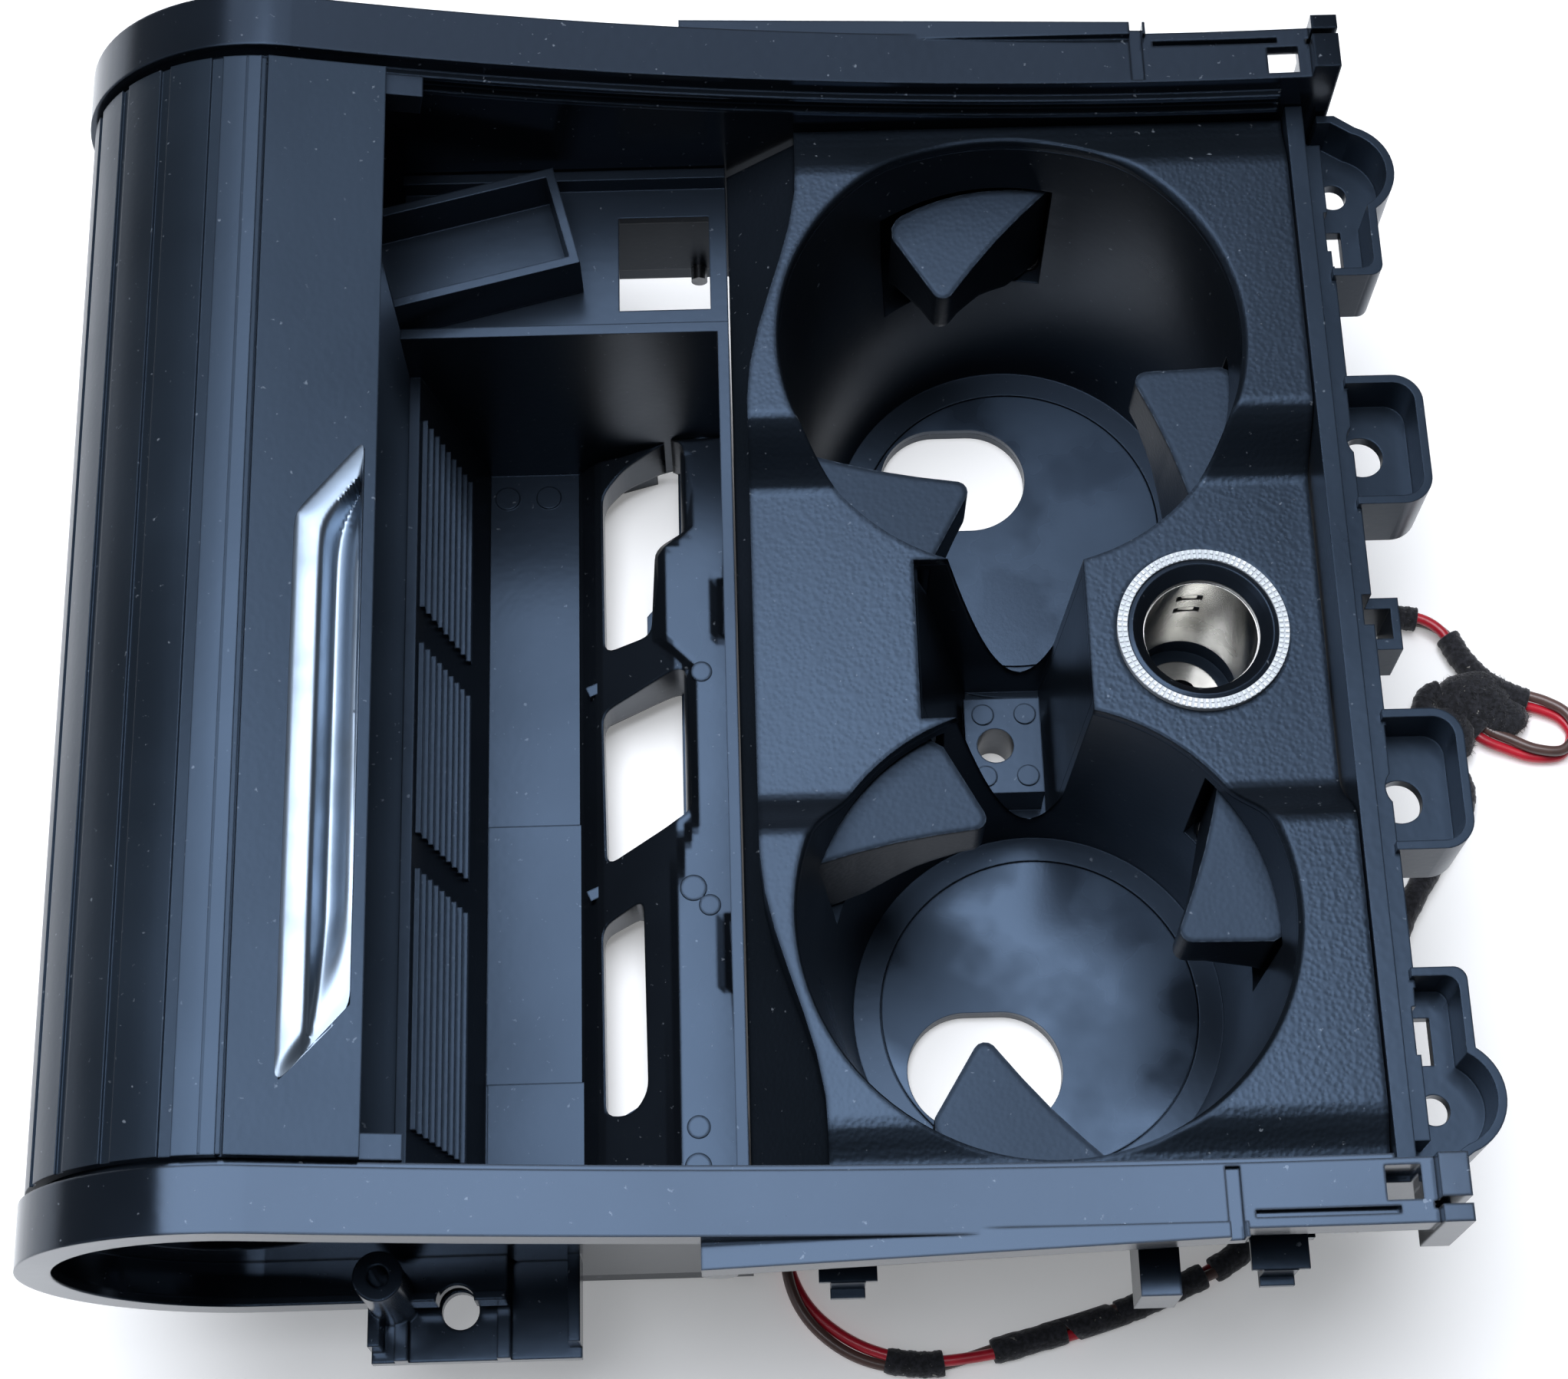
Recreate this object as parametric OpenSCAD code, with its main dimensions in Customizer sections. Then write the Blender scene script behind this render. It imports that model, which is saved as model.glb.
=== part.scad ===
// Car console module: two cup wells with sprung grip fingers, a power socket,
// a storage tray and a roller door that runs on two curved side rails.
// X runs from the door's nose (negative) to the rear mounting ears, Y across the
// car, Z up. The origin is midway between the two outer ear holes, on the ears' face.

/* [Cup wells] */
// Distance of the cup centres in front of the ear holes
cup_back = 66.3; // [64:0.1:69]
// Half the distance between the two cup centres
cup_y = 57; // [56:0.1:57.5]
// Radius of a cup well at its rim
cup_rim_r = 44; // [42:0.1:44.5]
// Radius of a cup well at its floor
cup_floor_r = 37; // [35:0.1:38]
// Depth of a cup well from the rim to the floor
cup_depth = 82; // [76:0.5:88]
// Backward lean of a cup well over its depth
cup_lean_x = 5.1; // [3:0.1:7]
// Inward lean of a cup well over its depth
cup_lean_y = 3.6; // [2:0.1:5]
// Wall of the cup wells
cup_wall = 2.2; // [1.6:0.1:2.6]
// Radius of the rubber mat
mat_r = 31.7; // [29:0.1:33]
// Thickness of the rubber mat
mat_t = 1.5; // [1:0.1:2.5]
// Length of the oval drain hole in floor and mat
drain_l = 31; // [20:0.5:33]
// Width of the oval drain hole in floor and mat
drain_w = 24; // [16:0.5:26]

/* [Cup panel] */
// Height of the cup rims above the ears' face
rim_z = 12; // [11:0.1:13]
// Depth of the shallow valley that holds the socket, below the rims
valley_drop = 12; // [8:0.5:13]
// Half width of the valley's flat floor
valley_half = 30; // [27:0.5:32]
// Width of each slope between valley and rim level
valley_slope = 12; // [8:0.5:15]
// Thickness of the panel
panel_t = 2.5; // [1.8:0.1:3.2]
// Gap between the panel's rear edge and the ledge bar
panel_gap = 0.3; // [0.2:0.05:0.6]
// How far the panel's front edge bulges past its corners
panel_bulge = 10.5; // [6:0.5:14]
// Distance of the panel's front corners ahead of the ear holes
panel_front = 106.2; // [104:0.1:108]
// Half width of the neck between the cups
neck_half = 16; // [12:0.5:18]
// Height of the block in the neck above the cup floors
neck_block_h = 12; // [8:0.5:20]

/* [Grip fingers] */
// Height of a grip finger
finger_h = 28; // [22:0.5:30]
// Depth of a finger's top below the rim
finger_drop = 18; // [15:0.5:24]
// Reach of a finger's nose into the cup
finger_reach = 19; // [14:0.5:20]
// Turn between a finger's pivot and its tip, seen from the cup centre
finger_sweep = 43; // [36:1:44]
// Radius of the finger's steel pin
pin_r = 1.25; // [1:0.05:1.5]
// Running clearance around the pin
pin_clear = 0.06; // [0.03:0.01:0.1]

/* [Power socket] */
// Inner radius of the metal shell
shell_r = 10.6; // [10.4:0.05:11]
// Wall of the metal shell
shell_t = 0.6; // [0.4:0.1:0.9]
// Length of the metal shell
shell_l = 28; // [26:0.5:34]
// Outer radius of the bright ring
ring_r = 16; // [15.5:0.1:17]
// Width of the bright ring
ring_w = 1.9; // [1.2:0.1:2.4]
// Number of flutes in the bright ring
ring_flutes = 90; // [60:1:120]
// Distance of the socket in front of the ear holes
socket_back = 33.1; // [31:0.1:34]

/* [Side rails] */
// Radius of the rails' concave top run
rail_r = 730; // [650:5:850]
// Height of the rails at their lowest point
rail_z = 22.5; // [21.5:0.1:24]
// Distance of the rails' lowest point in front of the ear holes
rail_low_back = 33.8; // [30:0.1:38]
// Half the clear width between the rails
rail_in_y = 105; // [104.8:0.1:105.5]
// Width of a rail's top band
rail_w = 11; // [9:0.5:13]
// Thickness of the top band
rail_t = 2.4; // [1.8:0.1:3]
// Thickness of the upright side plate
plate_t = 2.4; // [2:0.1:3]
// Radius of the rails' nose
nose_r = 35.5; // [33:0.1:37]
// Distance of the nose's centre in front of the ear holes
nose_back = 207.8; // [205:0.1:210]

/* [Roller door] */
// Width of the door's rigid front panel along the travel
door_w = 21.7; // [18:0.1:23]
// Distance of the door's front edge in front of the ear holes, door open
door_front = 182.4; // [181.5:0.1:183.5]
// Thickness of the door and its slats
door_t = 2.2; // [1.6:0.1:2.6]
// How far the door lies below the rails' top
door_sink = 1; // [0.6:0.1:1.4]
// Gap between the door and each rail
door_gap = 1.8; // [1.2:0.1:2.5]
// Pitch of the slats
slat_pitch = 10.8; // [9:0.1:13]
// Width of the shallow strip between slats
slat_groove = 2.2; // [1.4:0.1:3]

/* [Storage tray] */
// Wall of the tray
tray_wall = 2.2; // [1.8:0.1:2.6]
// Height of the tray's floor above the surface it stands on
tray_floor_h = 6.5; // [5:0.1:8]
// Height of the bar along the tray floor
bar_h = 16; // [10:0.5:20]
// Width of the bar along the tray floor
bar_w = 10; // [8:0.5:11]
// Width of the smooth strip in the tray floor
strip_w = 22; // [18:0.5:23]
// Far end of the deep part of the tray
tray_far_y = 70; // [66:0.5:72]

/* [Mounting ears] */
// Half the distance between the outer ear holes
ear_outer_y = 91.9; // [91:0.1:92.5]
// Half the distance between the inner ear holes
ear_inner_y = 34.8; // [34:0.1:36]
// Radius of the outer ear holes
ear_outer_hole_r = 2.75; // [2:0.05:3.2]
// Radius of the inner ear holes
ear_inner_hole_r = 4.1; // [3:0.05:4.5]
// Thickness of the ears
ear_t = 2.6; // [2:0.1:3.5]
// Height of the border around each ear
ear_rim_h = 10; // [6:0.5:11]
// Distance of the side bracket's hole in front of the ear holes
bracket_back = 173; // [171:0.5:175]
// Radius of the side bracket's hole
bracket_hole_r = 3.4; // [2.5:0.1:3.6]

/* [Wiring] */
// Diameter of the taped wire pair
cable_d = 5; // [4:0.1:5.2]

/* [Hidden] */

far = 1;
near = -1;
eps = 0.01;
arc_fn = 720;
round_fn = 96;
small_fn = 48;

floor_z = rim_z - cup_depth;
floor_t = 2.5;
ground_z = floor_z - floor_t;
valley_z = rim_z - valley_drop;
cup_lean_a = asin(cup_lean_y / cup_depth);
cup_lean_b = asin(cup_lean_x / cup_depth);
cup_taper = (cup_rim_r - cup_floor_r) / cup_depth;
seam = 0.05;
edge_drop = 2.6;
edge_start = 93;
edge_w = 9;

ledge_w = 3.3;
ledge_x = -10.3;
panel_half = rail_in_y - 1.0;
panel_rear = ledge_x - panel_gap;

rail_cz = rail_z + rail_r;
nose_a = asin((nose_back - rail_low_back) / (rail_r + nose_r));
nose_z = rail_cz - (rail_r + nose_r) * cos(nose_a);
tangent_x = -rail_low_back - rail_r * sin(nose_a);
tangent_z = rail_cz - rail_r * cos(nose_a);
rail_out_y = rail_in_y + rail_w;
low_run_x = -150;
plate_bottom = -48;
plate_rear_bottom = -24;
guide_top = 3.8;
guide_low = 8.4;
guide_t = 1;
guide_reach = 1.6;

door_y = rail_in_y - door_gap;
door_r = rail_r + door_sink;
door_a0 = asin((door_front - rail_low_back) / door_r);
door_span = door_w / door_r * 180 / PI;

finger_z = rim_z - finger_drop - finger_h;
pivot_r = cup_rim_r + 1.2;
finger_angles = [39, -81, 159];
finger_swing = 15;
knuckle_r = 2.3;
pocket_r = 3.1;
pocket_wall = 1.4;
spring_h = 3.2;
lug_h = 3;
gap = 0.3;
pin_low = finger_z - spring_h - gap - lug_h;
pin_l = finger_h + spring_h + 2 * gap + 2 * lug_h;
skirt_low = pin_low + pin_l + 1 + gap;

tray_floor_z = ground_z + tray_floor_h;
tray_rear = -panel_front - panel_bulge - 3.2;
tray_half = rail_in_y - 0.3;
bar_front = tray_rear - 1.2 - bar_w;
strip_rear = bar_front - 19.5;
strip_front = strip_rear - strip_w;
tray_front = strip_front - 11.5;
shelf_z = rim_z - 20;

socket_z = valley_z;
collar_r = ring_r - ring_w;
body_r = shell_r + shell_t + 1.4;

// Route of the wiring, from the socket's plug round the rear and under the near side
cable_route = [
    [-33.1, 0, -48.5], [-33, 0.5, -55], [-31.5, 2.5, -62], [-27, 7, -67.5], [-19.5, 13, -69.8], [-8, 19.5, -69.8],
    [15, 29.5, -69.8], [23, 30.5, -69.8], [29, 27.5, -69.8], [32.5, 21, -69.8], [37, 15.5, -69.8], [43, 12, -69.8],
    [48.5, 10, -69.8], [52.5, 7.5, -69.8], [54, 3.5, -69.8], [51, -0.5, -69.8], [45.5, -0.5, -69.8],
    [40.5, 1.5, -69.8], [35, 4.5, -69.8], [32, 10, -69.8], [28.5, 13.5, -69.8], [24.5, 12.5, -69.8],
    [23, 8, -69.8], [24, 2.5, -69.8], [27.5, -3, -69.8], [29.5, -9.5, -69.8], [26, -17, -69.8],
    [14.5, -35, -69.8], [8, -50.5, -69.8], [0, -68, -69.8], [-12.5, -88.5, -69.8], [-25, -102.5, -69.8],
    [-40, -110, -69.8], [-54, -115, -69.8], [-80, -121.5, -69.8], [-91, -122, -69.8], [-101, -119, -69.8],
    [-109, -112.5, -69.8], [-113, -104, -69.8], [-113, -94, -69.8]
];

function smooth(t) = let (c = max(0, min(1, t))) c * c * (3 - 2 * c);
function panel_z(y) = valley_z + valley_drop * smooth((abs(y) - valley_half) / valley_slope)
    - edge_drop * smooth((abs(y) - edge_start) / edge_w);
function panel_x(y) = -panel_front - panel_bulge * (1 - smooth((abs(y) - 44) / 50));
function polar(r, a) = [r * cos(a), r * sin(a)];

// Extrudes an XZ profile along Y, from y0 to y1
module along_y(y0, y1) {
    translate([0, y1, 0]) rotate([90, 0, 0]) linear_extrude(height = y1 - y0) children();
}

// Extrudes a YZ profile along X, from x0 to x1
module along_x(x0, x1) {
    translate([x0, 0, 0]) rotate([90, 0, 90]) linear_extrude(height = x1 - x0) children();
}

module both_sides() {
    children();
    mirror([0, 1, 0]) children();
}

// A flat bar with round ends, in the XY plane
module oblong(l, w) {
    translate([-(l - w) / 2, 0]) circle(d = w, $fn = small_fn);
    translate([(l - w) / 2, 0]) circle(d = w, $fn = small_fn);
    square([l - w, w], center = true);
}

// A rectangle with four rounded corners, centred
module round_rect(l, w, r) {
    square([l - 2 * r, w], center = true);
    square([l, w - 2 * r], center = true);
    for (sx = [-1, 1], sy = [-1, 1])
        translate([sx * (l / 2 - r), sy * (w / 2 - r)]) circle(r = r, $fn = small_fn);
}

// One stretch of the rails' path in the XZ plane, d0 to d1 inside the outer surface
module track(d0, d1, rear_x, low_x) {
    far_out = rail_r + 90;
    intersection() {
        translate([-rail_low_back, rail_cz]) difference() {
            circle(r = rail_r + d1, $fn = arc_fn);
            circle(r = rail_r + d0, $fn = arc_fn);
        }
        polygon([
            [-rail_low_back, rail_cz],
            [-rail_low_back - far_out * sin(nose_a), rail_cz - far_out * cos(nose_a)],
            [rear_x, rail_z - 90],
            [rear_x, rail_cz]
        ]);
    }
    intersection() {
        translate([-nose_back, nose_z]) difference() {
            circle(r = nose_r - d0, $fn = round_fn * 2);
            circle(r = nose_r - d1, $fn = round_fn * 2);
        }
        polygon([
            [-nose_back, nose_z],
            [-nose_back + 80 * sin(nose_a), nose_z + 80 * cos(nose_a)],
            [-nose_back - 90, nose_z + 90],
            [-nose_back - 90, nose_z - 90],
            [-nose_back, nose_z - 90]
        ]);
    }
    translate([-nose_back, nose_z - nose_r + d0]) square([low_x + nose_back, d1 - d0]);
}

// Cup wells, each a leaning cone between the rim and the floor
module well_cone(side, grow, top, low) {
    intersection() {
        translate([-cup_back, side * cup_y, rim_z])
            rotate([-side * cup_lean_a, -cup_lean_b, 0])
                translate([0, 0, -cup_depth - 20])
                    cylinder(
                        h = cup_depth + 40,
                        r1 = cup_floor_r - 20 * cup_taper + grow,
                        r2 = cup_rim_r + 20 * cup_taper + grow,
                        $fn = round_fn
                    );
        translate([-cup_back - 70, side * cup_y - 70, low]) cube([140, 140, top - low]);
    }
}

module cup_centre(side, z) {
    share = (rim_z - z) / cup_depth;
    translate([-cup_back + share * cup_lean_x, side * (cup_y - share * cup_lean_y), 0]) children();
}

module drain_hole(side) {
    cup_centre(side, floor_z) translate([-11.6, side * 11.8, 0]) oblong(drain_l, drain_w);
}

// Neck between the wells: a channel whose side walls lean, as an XZ profile
module neck_profile(grow, low) {
    polygon([
        [-cup_back - 21 - grow, rim_z + 10],
        [-cup_back - 20 - grow, valley_z],
        [-cup_back - 6.5 - grow, low],
        [-cup_back + 9 + grow, low],
        [-cup_back + 12 + grow, valley_z],
        [-cup_back + 13 + grow, rim_z + 10]
    ]);
}

module panel_profile(t) {
    steps = 9;
    side = concat(
        [for (i = [0:steps]) valley_half + valley_slope * i / steps],
        [for (i = [0:5]) edge_start + edge_w * i / 5],
        [panel_half]
    );
    ys = concat([for (i = [len(side) - 1:-1:0]) -side[i]], side);
    polygon(concat(
        [for (y = ys) [y, panel_z(y)]],
        [for (i = [len(ys) - 1:-1:0]) [ys[i], panel_z(ys[i]) - t]]
    ));
}

module panel_outline(inset) {
    steps = 28;
    half = panel_half - inset;
    polygon(concat(
        [for (i = [0:steps]) let (y = half * (2 * i / steps - 1)) [panel_x(y) + inset, y]],
        [[panel_rear - inset, half], [panel_rear - inset, -half]]
    ));
}

// Places a child at one finger's pivot, turned so that +X points out of the cup
module at_finger(side, i) {
    a = side == near ? finger_angles[i] : -finger_angles[i];
    cup_centre(side, finger_z + finger_h / 2) rotate([0, 0, a]) translate([pivot_r, 0, 0]) children();
}

function turned(p, a) = [p[0] * cos(a) - p[1] * sin(a), p[0] * sin(a) + p[1] * cos(a)];

// Plan of a finger with its pivot at the origin, its tip towards -Y
module finger_plan() {
    out_r = pivot_r - 1.6;
    tip_r = 2.2;
    a_end = -finger_sweep;
    tip = polar(cup_rim_r - finger_reach - 1.5 + tip_r, 0.92 * a_end);
    along = unit([pivot_r, 0] - tip);
    out = [-along[1], along[0]];
    start = tip + tip_r * out;
    finish = [pivot_r, 0] + knuckle_r * out;
    translate([-pivot_r, 0]) polygon(concat(
        [for (i = [0:8]) polar(out_r, a_end * (0.06 + 0.1 * i))],
        [polar(out_r - 0.3, 0.91 * a_end), polar(out_r - 1.2, 0.96 * a_end), polar(out_r - 3.2, a_end)],
        [for (k = [0:4]) tip + polar(tip_r, 230 - 26 * k)],
        [for (k = [1:3]) start + (finish - start) * k / 4 - 0.8 * sin(45 * k) * out],
        [finish]
    ));
}

// Space in which a finger swings, in plan, with its pivot at the origin
module pocket_plan(grow) {
    out_r = pivot_r - 1.1 + grow;
    end_r = 33.2 + grow * 1.2;
    polygon(concat(
        [[-16, pocket_r - 0.1 + grow], [0, pocket_r - 0.1 + grow]],
        [for (i = [0:8]) turned(polar(out_r, -(finger_sweep + 1 + grow) * i / 8) - [pivot_r, 0], finger_swing)],
        [for (a = [100, 108, 117, 126]) polar(end_r, -a)]
    ));
}

module finger_pocket() {
    translate([0, 0, finger_z - 1.2]) linear_extrude(height = finger_h + 2.4) pocket_plan(0);
    translate([0, 0, finger_z - spring_h - gap]) cylinder(h = finger_h + spring_h + gap + 1.2, r = pocket_r, $fn = small_fn);
    translate([0, 0, pin_low - 1]) cylinder(h = pin_l + 1 + gap, r = pin_r + pin_clear, $fn = small_fn);
}

module finger_housing() {
    translate([0, 0, finger_z - 1.2 - pocket_wall])
        linear_extrude(height = finger_h + 2.4 + 2 * pocket_wall) pocket_plan(pocket_wall);
    translate([0, 0, pin_low - 0.6]) cylinder(h = pin_l + 1.6, r = pocket_r + 1, $fn = small_fn);
}

// Everything below the panel's underside
module under_panel() {
    translate([0, 0, -panel_t - seam]) along_x(-135, 5) panel_profile(200);
}

// Rolled front face that falls from the panel's curved edge to the tray
module panel_apron() {
    difference() {
        along_y(-panel_half + 0.5, panel_half - 0.5) polygon([
            [tray_rear + gap, shelf_z + 2.2], [-panel_front + 1.5, rim_z - 5], [-panel_front + 1.5, rim_z - 7.4],
            [tray_rear + gap, shelf_z - 0.2]
        ]);
        translate([0, 0, -40]) linear_extrude(height = 80) panel_outline(cup_wall);
    }
}

module cup_panel() {
    color([0.12, 0.13, 0.15]) difference() {
        union() {
            intersection() {
                translate([0, 0, -40]) linear_extrude(height = 80) panel_outline(0);
                along_x(-130, 0) panel_profile(panel_t);
            }
            difference() {
                union() {
                    // Skirt that hangs from the panel's edge
                    intersection() {
                        difference() {
                            translate([0, 0, skirt_low]) linear_extrude(height = rim_z - skirt_low) panel_outline(0);
                            translate([0, 0, rim_z - 30]) linear_extrude(height = 40) panel_outline(cup_wall);
                        }
                        along_x(-130, 0) panel_profile(26);
                    }
                    panel_apron();
                }
                intersection() {
                    for (side = [far, near]) well_cone(side, cup_wall + seam, rim_z + 5, ground_z);
                    under_panel();
                }
            }
            translate([-socket_back, 0, socket_z - 14]) cylinder(h = 14, r = body_r + 2.2, $fn = round_fn);
        }
        for (side = [far, near]) {
            well_cone(side, 0, rim_z + 10, floor_z);
            translate([-cup_back, side * cup_y, rim_z - 1.2])
                cylinder(h = 1.4, r1 = cup_rim_r - 0.1, r2 = cup_rim_r + 0.9, $fn = round_fn);
        }
        along_y(-neck_half, neck_half) neck_profile(0, floor_z);
        translate([-socket_back, 0, socket_z - 20]) cylinder(h = 30, r = body_r + gap / 2, $fn = round_fn);
        translate([-socket_back, 0, socket_z - 1.2]) cylinder(h = 30, r = ring_r + 0.1, $fn = round_fn);
    }
}

// One well: wall, floor with the mat's recess and drain, and three finger housings
module cup_well(side) {
    color([0.10, 0.11, 0.12]) difference() {
        intersection() {
            union() {
                well_cone(side, cup_wall, rim_z + 5, ground_z);
                intersection() {
                    for (i = [0:2]) at_finger(side, i) mirror([0, side == near ? 0 : 1, 0]) finger_housing();
                    translate([-135, -panel_half - 0.6, -80]) cube([135 + ledge_x - gap, 2 * panel_half + 1.2, 100]);
                }
            }
            under_panel();
        }
        well_cone(side, 0, rim_z + 10, floor_z + mat_t);
        cup_centre(side, floor_z) translate([0, 0, floor_z]) cylinder(h = mat_t + 1, r = mat_r + gap, $fn = round_fn);
        translate([0, 0, ground_z - 1]) linear_extrude(height = floor_t + 2) drain_hole(side);
        for (i = [0:2]) at_finger(side, i) mirror([0, side == near ? 0 : 1, 0]) finger_pocket();
        along_y(-neck_half, neck_half) neck_profile(0, floor_z + mat_t);
    }
}

// Channel between the wells, with its floor, a raised block and a hole
module neck_channel() {
    color([0.10, 0.11, 0.12]) {
        difference() {
            intersection() {
                along_y(-neck_half - cup_wall, neck_half + cup_wall) neck_profile(cup_wall, ground_z);
                under_panel();
            }
            for (side = [far, near]) {
                well_cone(side, cup_wall + seam, rim_z + 5, ground_z - 1);
                at_finger(side, 2) mirror([0, side == near ? 0 : 1, 0])
                    translate([0, 0, finger_z - 1.2 - pocket_wall - seam])
                        linear_extrude(height = finger_h + 2.4 + 2 * pocket_wall + 2 * seam) pocket_plan(pocket_wall + seam);
            }
            difference() {
                along_y(-neck_half, neck_half) neck_profile(0, floor_z + mat_t);
                neck_block();
            }
            translate([-cup_back - 1.5, 0, ground_z - 1]) cylinder(h = neck_block_h + 10, r = 3.7, $fn = small_fn);
        }
        // Round pads on the neck block
        for (sx = [-4.3, 4.3], sy = [-6.7, 6.7])
            translate([-cup_back + 0.5 + sx, sy, floor_z + neck_block_h - eps]) cylinder(h = 0.4, r = 2.2, $fn = small_fn);
    }
}

module neck_block() {
    translate([-cup_back - 7.6, -10.3, ground_z]) cube([15.6, 20.6, floor_t + neck_block_h]);
}

module cup_mat(side) {
    color([0.16, 0.19, 0.24]) difference() {
        cup_centre(side, floor_z) translate([0, 0, floor_z]) cylinder(h = mat_t, r = mat_r, $fn = round_fn);
        translate([0, 0, floor_z - 1]) linear_extrude(height = mat_t + 2) drain_hole(side);
    }
}

module finger(side, i) {
    top = finger_z + finger_h;
    color([0.15, 0.17, 0.20]) at_finger(side, i) mirror([0, side == near ? 0 : 1, 0]) difference() {
        intersection() {
            union() {
                translate([0, 0, finger_z]) linear_extrude(height = finger_h) finger_plan();
                translate([0, 0, finger_z]) cylinder(h = finger_h, r = knuckle_r, $fn = small_fn);
            }
            // The finger is deep at the wall and shallow at its nose
            along_y(-40, 5) polygon([
                [-30, top - 12.5], [-24, top - 13], [-17, top - 17], [-9, finger_z + 2], [-4, finger_z], [10, finger_z],
                [10, top], [-2, top], [-30, top - 1.2]
            ]);
        }
        translate([0, 0, finger_z - 1]) cylinder(h = finger_h + 2, r = pin_r + pin_clear, $fn = small_fn);
    }
}

module finger_pin(side, i) {
    color([0.7, 0.7, 0.72]) at_finger(side, i) translate([0, 0, pin_low]) cylinder(h = pin_l, r = pin_r, $fn = small_fn);
}

// Flat-wire torsion spring under the finger, with one leg to the finger and one to the wall
module finger_spring(side, i) {
    low = finger_z - spring_h;
    inner = pin_r + 0.3;
    outer = inner + 0.9;
    color([0.6, 0.6, 0.62]) at_finger(side, i) mirror([0, side == near ? 0 : 1, 0]) {
        rotate_extrude($fn = small_fn) polygon([
            [inner, low], [outer, low], [outer, low + 0.6], [outer - 0.25, low + 0.75],
            [outer, low + 0.9], [outer, low + 1.5], [outer - 0.25, low + 1.65],
            [outer, low + 1.8], [outer, low + 2.4], [inner, low + 2.4]
        ]);
        translate([inner + 0.2, -2, low + 1.8]) cube([0.5, 2, 0.6]);
        translate([-inner - 0.7, -2, low]) cube([0.5, 2, 0.6]);
    }
}

// Outline of an outer ear in plan; its hole is at the origin of the far side
module outer_ear(grow) {
    r = 8.8 + grow;
    translate([0, ear_outer_y]) circle(r = r, $fn = round_fn);
    translate([-8, ear_outer_y - 21.5 - grow]) square([12 + grow - 2.4, 21.5 + grow]);
    translate([-8, ear_outer_y - 19.1 - grow]) square([12.4 + grow, 14]);
    translate([2 + grow, ear_outer_y - 19.1 - grow]) circle(r = 2.4, $fn = small_fn);
    polygon([
        [-8, ear_outer_y - 5], [polar(r, 40)[0], ear_outer_y + polar(r, 40)[1]],
        [-1 + grow / 2, ear_outer_y + 10.9 + grow], [-8, ear_outer_y + 10.9 + grow]
    ]);
}

module inner_ear(grow) {
    translate([0.5, ear_inner_y - 1]) round_rect(17 + 2 * grow, 23.5 + 2 * grow, 4 + grow);
}

module ear_border(low) {
    translate([0, 0, low]) linear_extrude(height = ear_rim_h - low) difference() {
        children(0);
        children(1);
        translate([-40, 0]) square([2 * 40 - 7.4, 300], center = true);
    }
}

module rear_carrier() {
    wall_low = -42;
    color([0.10, 0.11, 0.12]) difference() {
        union() {
            // Ledge bar and the wall below it
            translate([ledge_x, -rail_in_y + 0.3, wall_low]) cube([ledge_w, 2 * rail_in_y - 0.6, rim_z - wall_low + 1.2]);
            // Lower flange outside the ledge
            translate([ledge_x + ledge_w - eps, -rail_in_y + 6, -14]) cube([4.2, 2 * rail_in_y - 12, 22]);
            both_sides() {
                translate([0, 0, -ear_t]) linear_extrude(height = ear_t) outer_ear(1.6);
                translate([0, 0, -ear_t]) linear_extrude(height = ear_t) inner_ear(1.6);
                ear_border(-ear_t - 4) {
                    outer_ear(1.6);
                    outer_ear(0);
                }
                ear_border(-ear_t - 4) {
                    inner_ear(1.6);
                    inner_ear(0);
                }
                // Foot of the carrier that the side frame is screwed to
                translate([ledge_x - 9, rail_in_y - 3.3, rear_screw_z - 8]) cube([9 + ledge_w, 3, 16]);
            }
            // Holder for a cable clip, open at the top
            translate([-6.2, -5.2, -12]) cube([9.8, 10.4, 13]);
        }
        // Pockets over the ears, open at the rear wall
        both_sides() {
            translate([-3.1, ear_outer_y - 20, 0]) cube([3, 29, 30]);
            translate([-3.1, ear_inner_y - 12, 0]) cube([3, 22.5, 30]);
            translate([0, ear_outer_y, -20]) cylinder(h = 40, r = ear_outer_hole_r, $fn = small_fn);
            translate([0, ear_inner_y, -20]) cylinder(h = 40, r = ear_inner_hole_r, $fn = small_fn);
            translate([-3.8, ear_outer_y - 16.6, -10]) cube([4.6, 8.6, 20]);
            translate([ledge_x - 4.5, rail_in_y + 1, rear_screw_z]) rotate([90, 0, 0]) cylinder(h = 8, r = 1.75, $fn = small_fn);
        }
        translate([-4.6, -3, -20]) cube([6.6, 6, 30]);
        // Relief windows in the lower wall
        for (y = [-66, -22, 22, 66]) translate([ledge_x - 1, y - 12, -36]) cube([6, 24, 16]);
    }
}

module side_plate() {
    difference() {
        union() {
            translate([-nose_back, nose_z]) circle(r = nose_r - 1, $fn = round_fn * 2);
            difference() {
                polygon([
                    [-nose_back, nose_z], [-nose_back, nose_z - nose_r], [low_run_x - 14, nose_z - nose_r],
                    [low_run_x - 8, plate_bottom], [tray_rear + 2, plate_bottom], [tray_rear + 10, plate_rear_bottom],
                    [-8, plate_rear_bottom], [-2, plate_rear_bottom + 8], [-2, 60], [tangent_x, 60], [tangent_x, tangent_z]
                ]);
                translate([-rail_low_back, rail_cz]) circle(r = rail_r + 1, $fn = arc_fn);
            }
        }
        // Round window in the nose
        translate([-nose_back - 2, nose_z]) circle(r = nose_r - 14, $fn = round_fn);
    }
}

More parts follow.
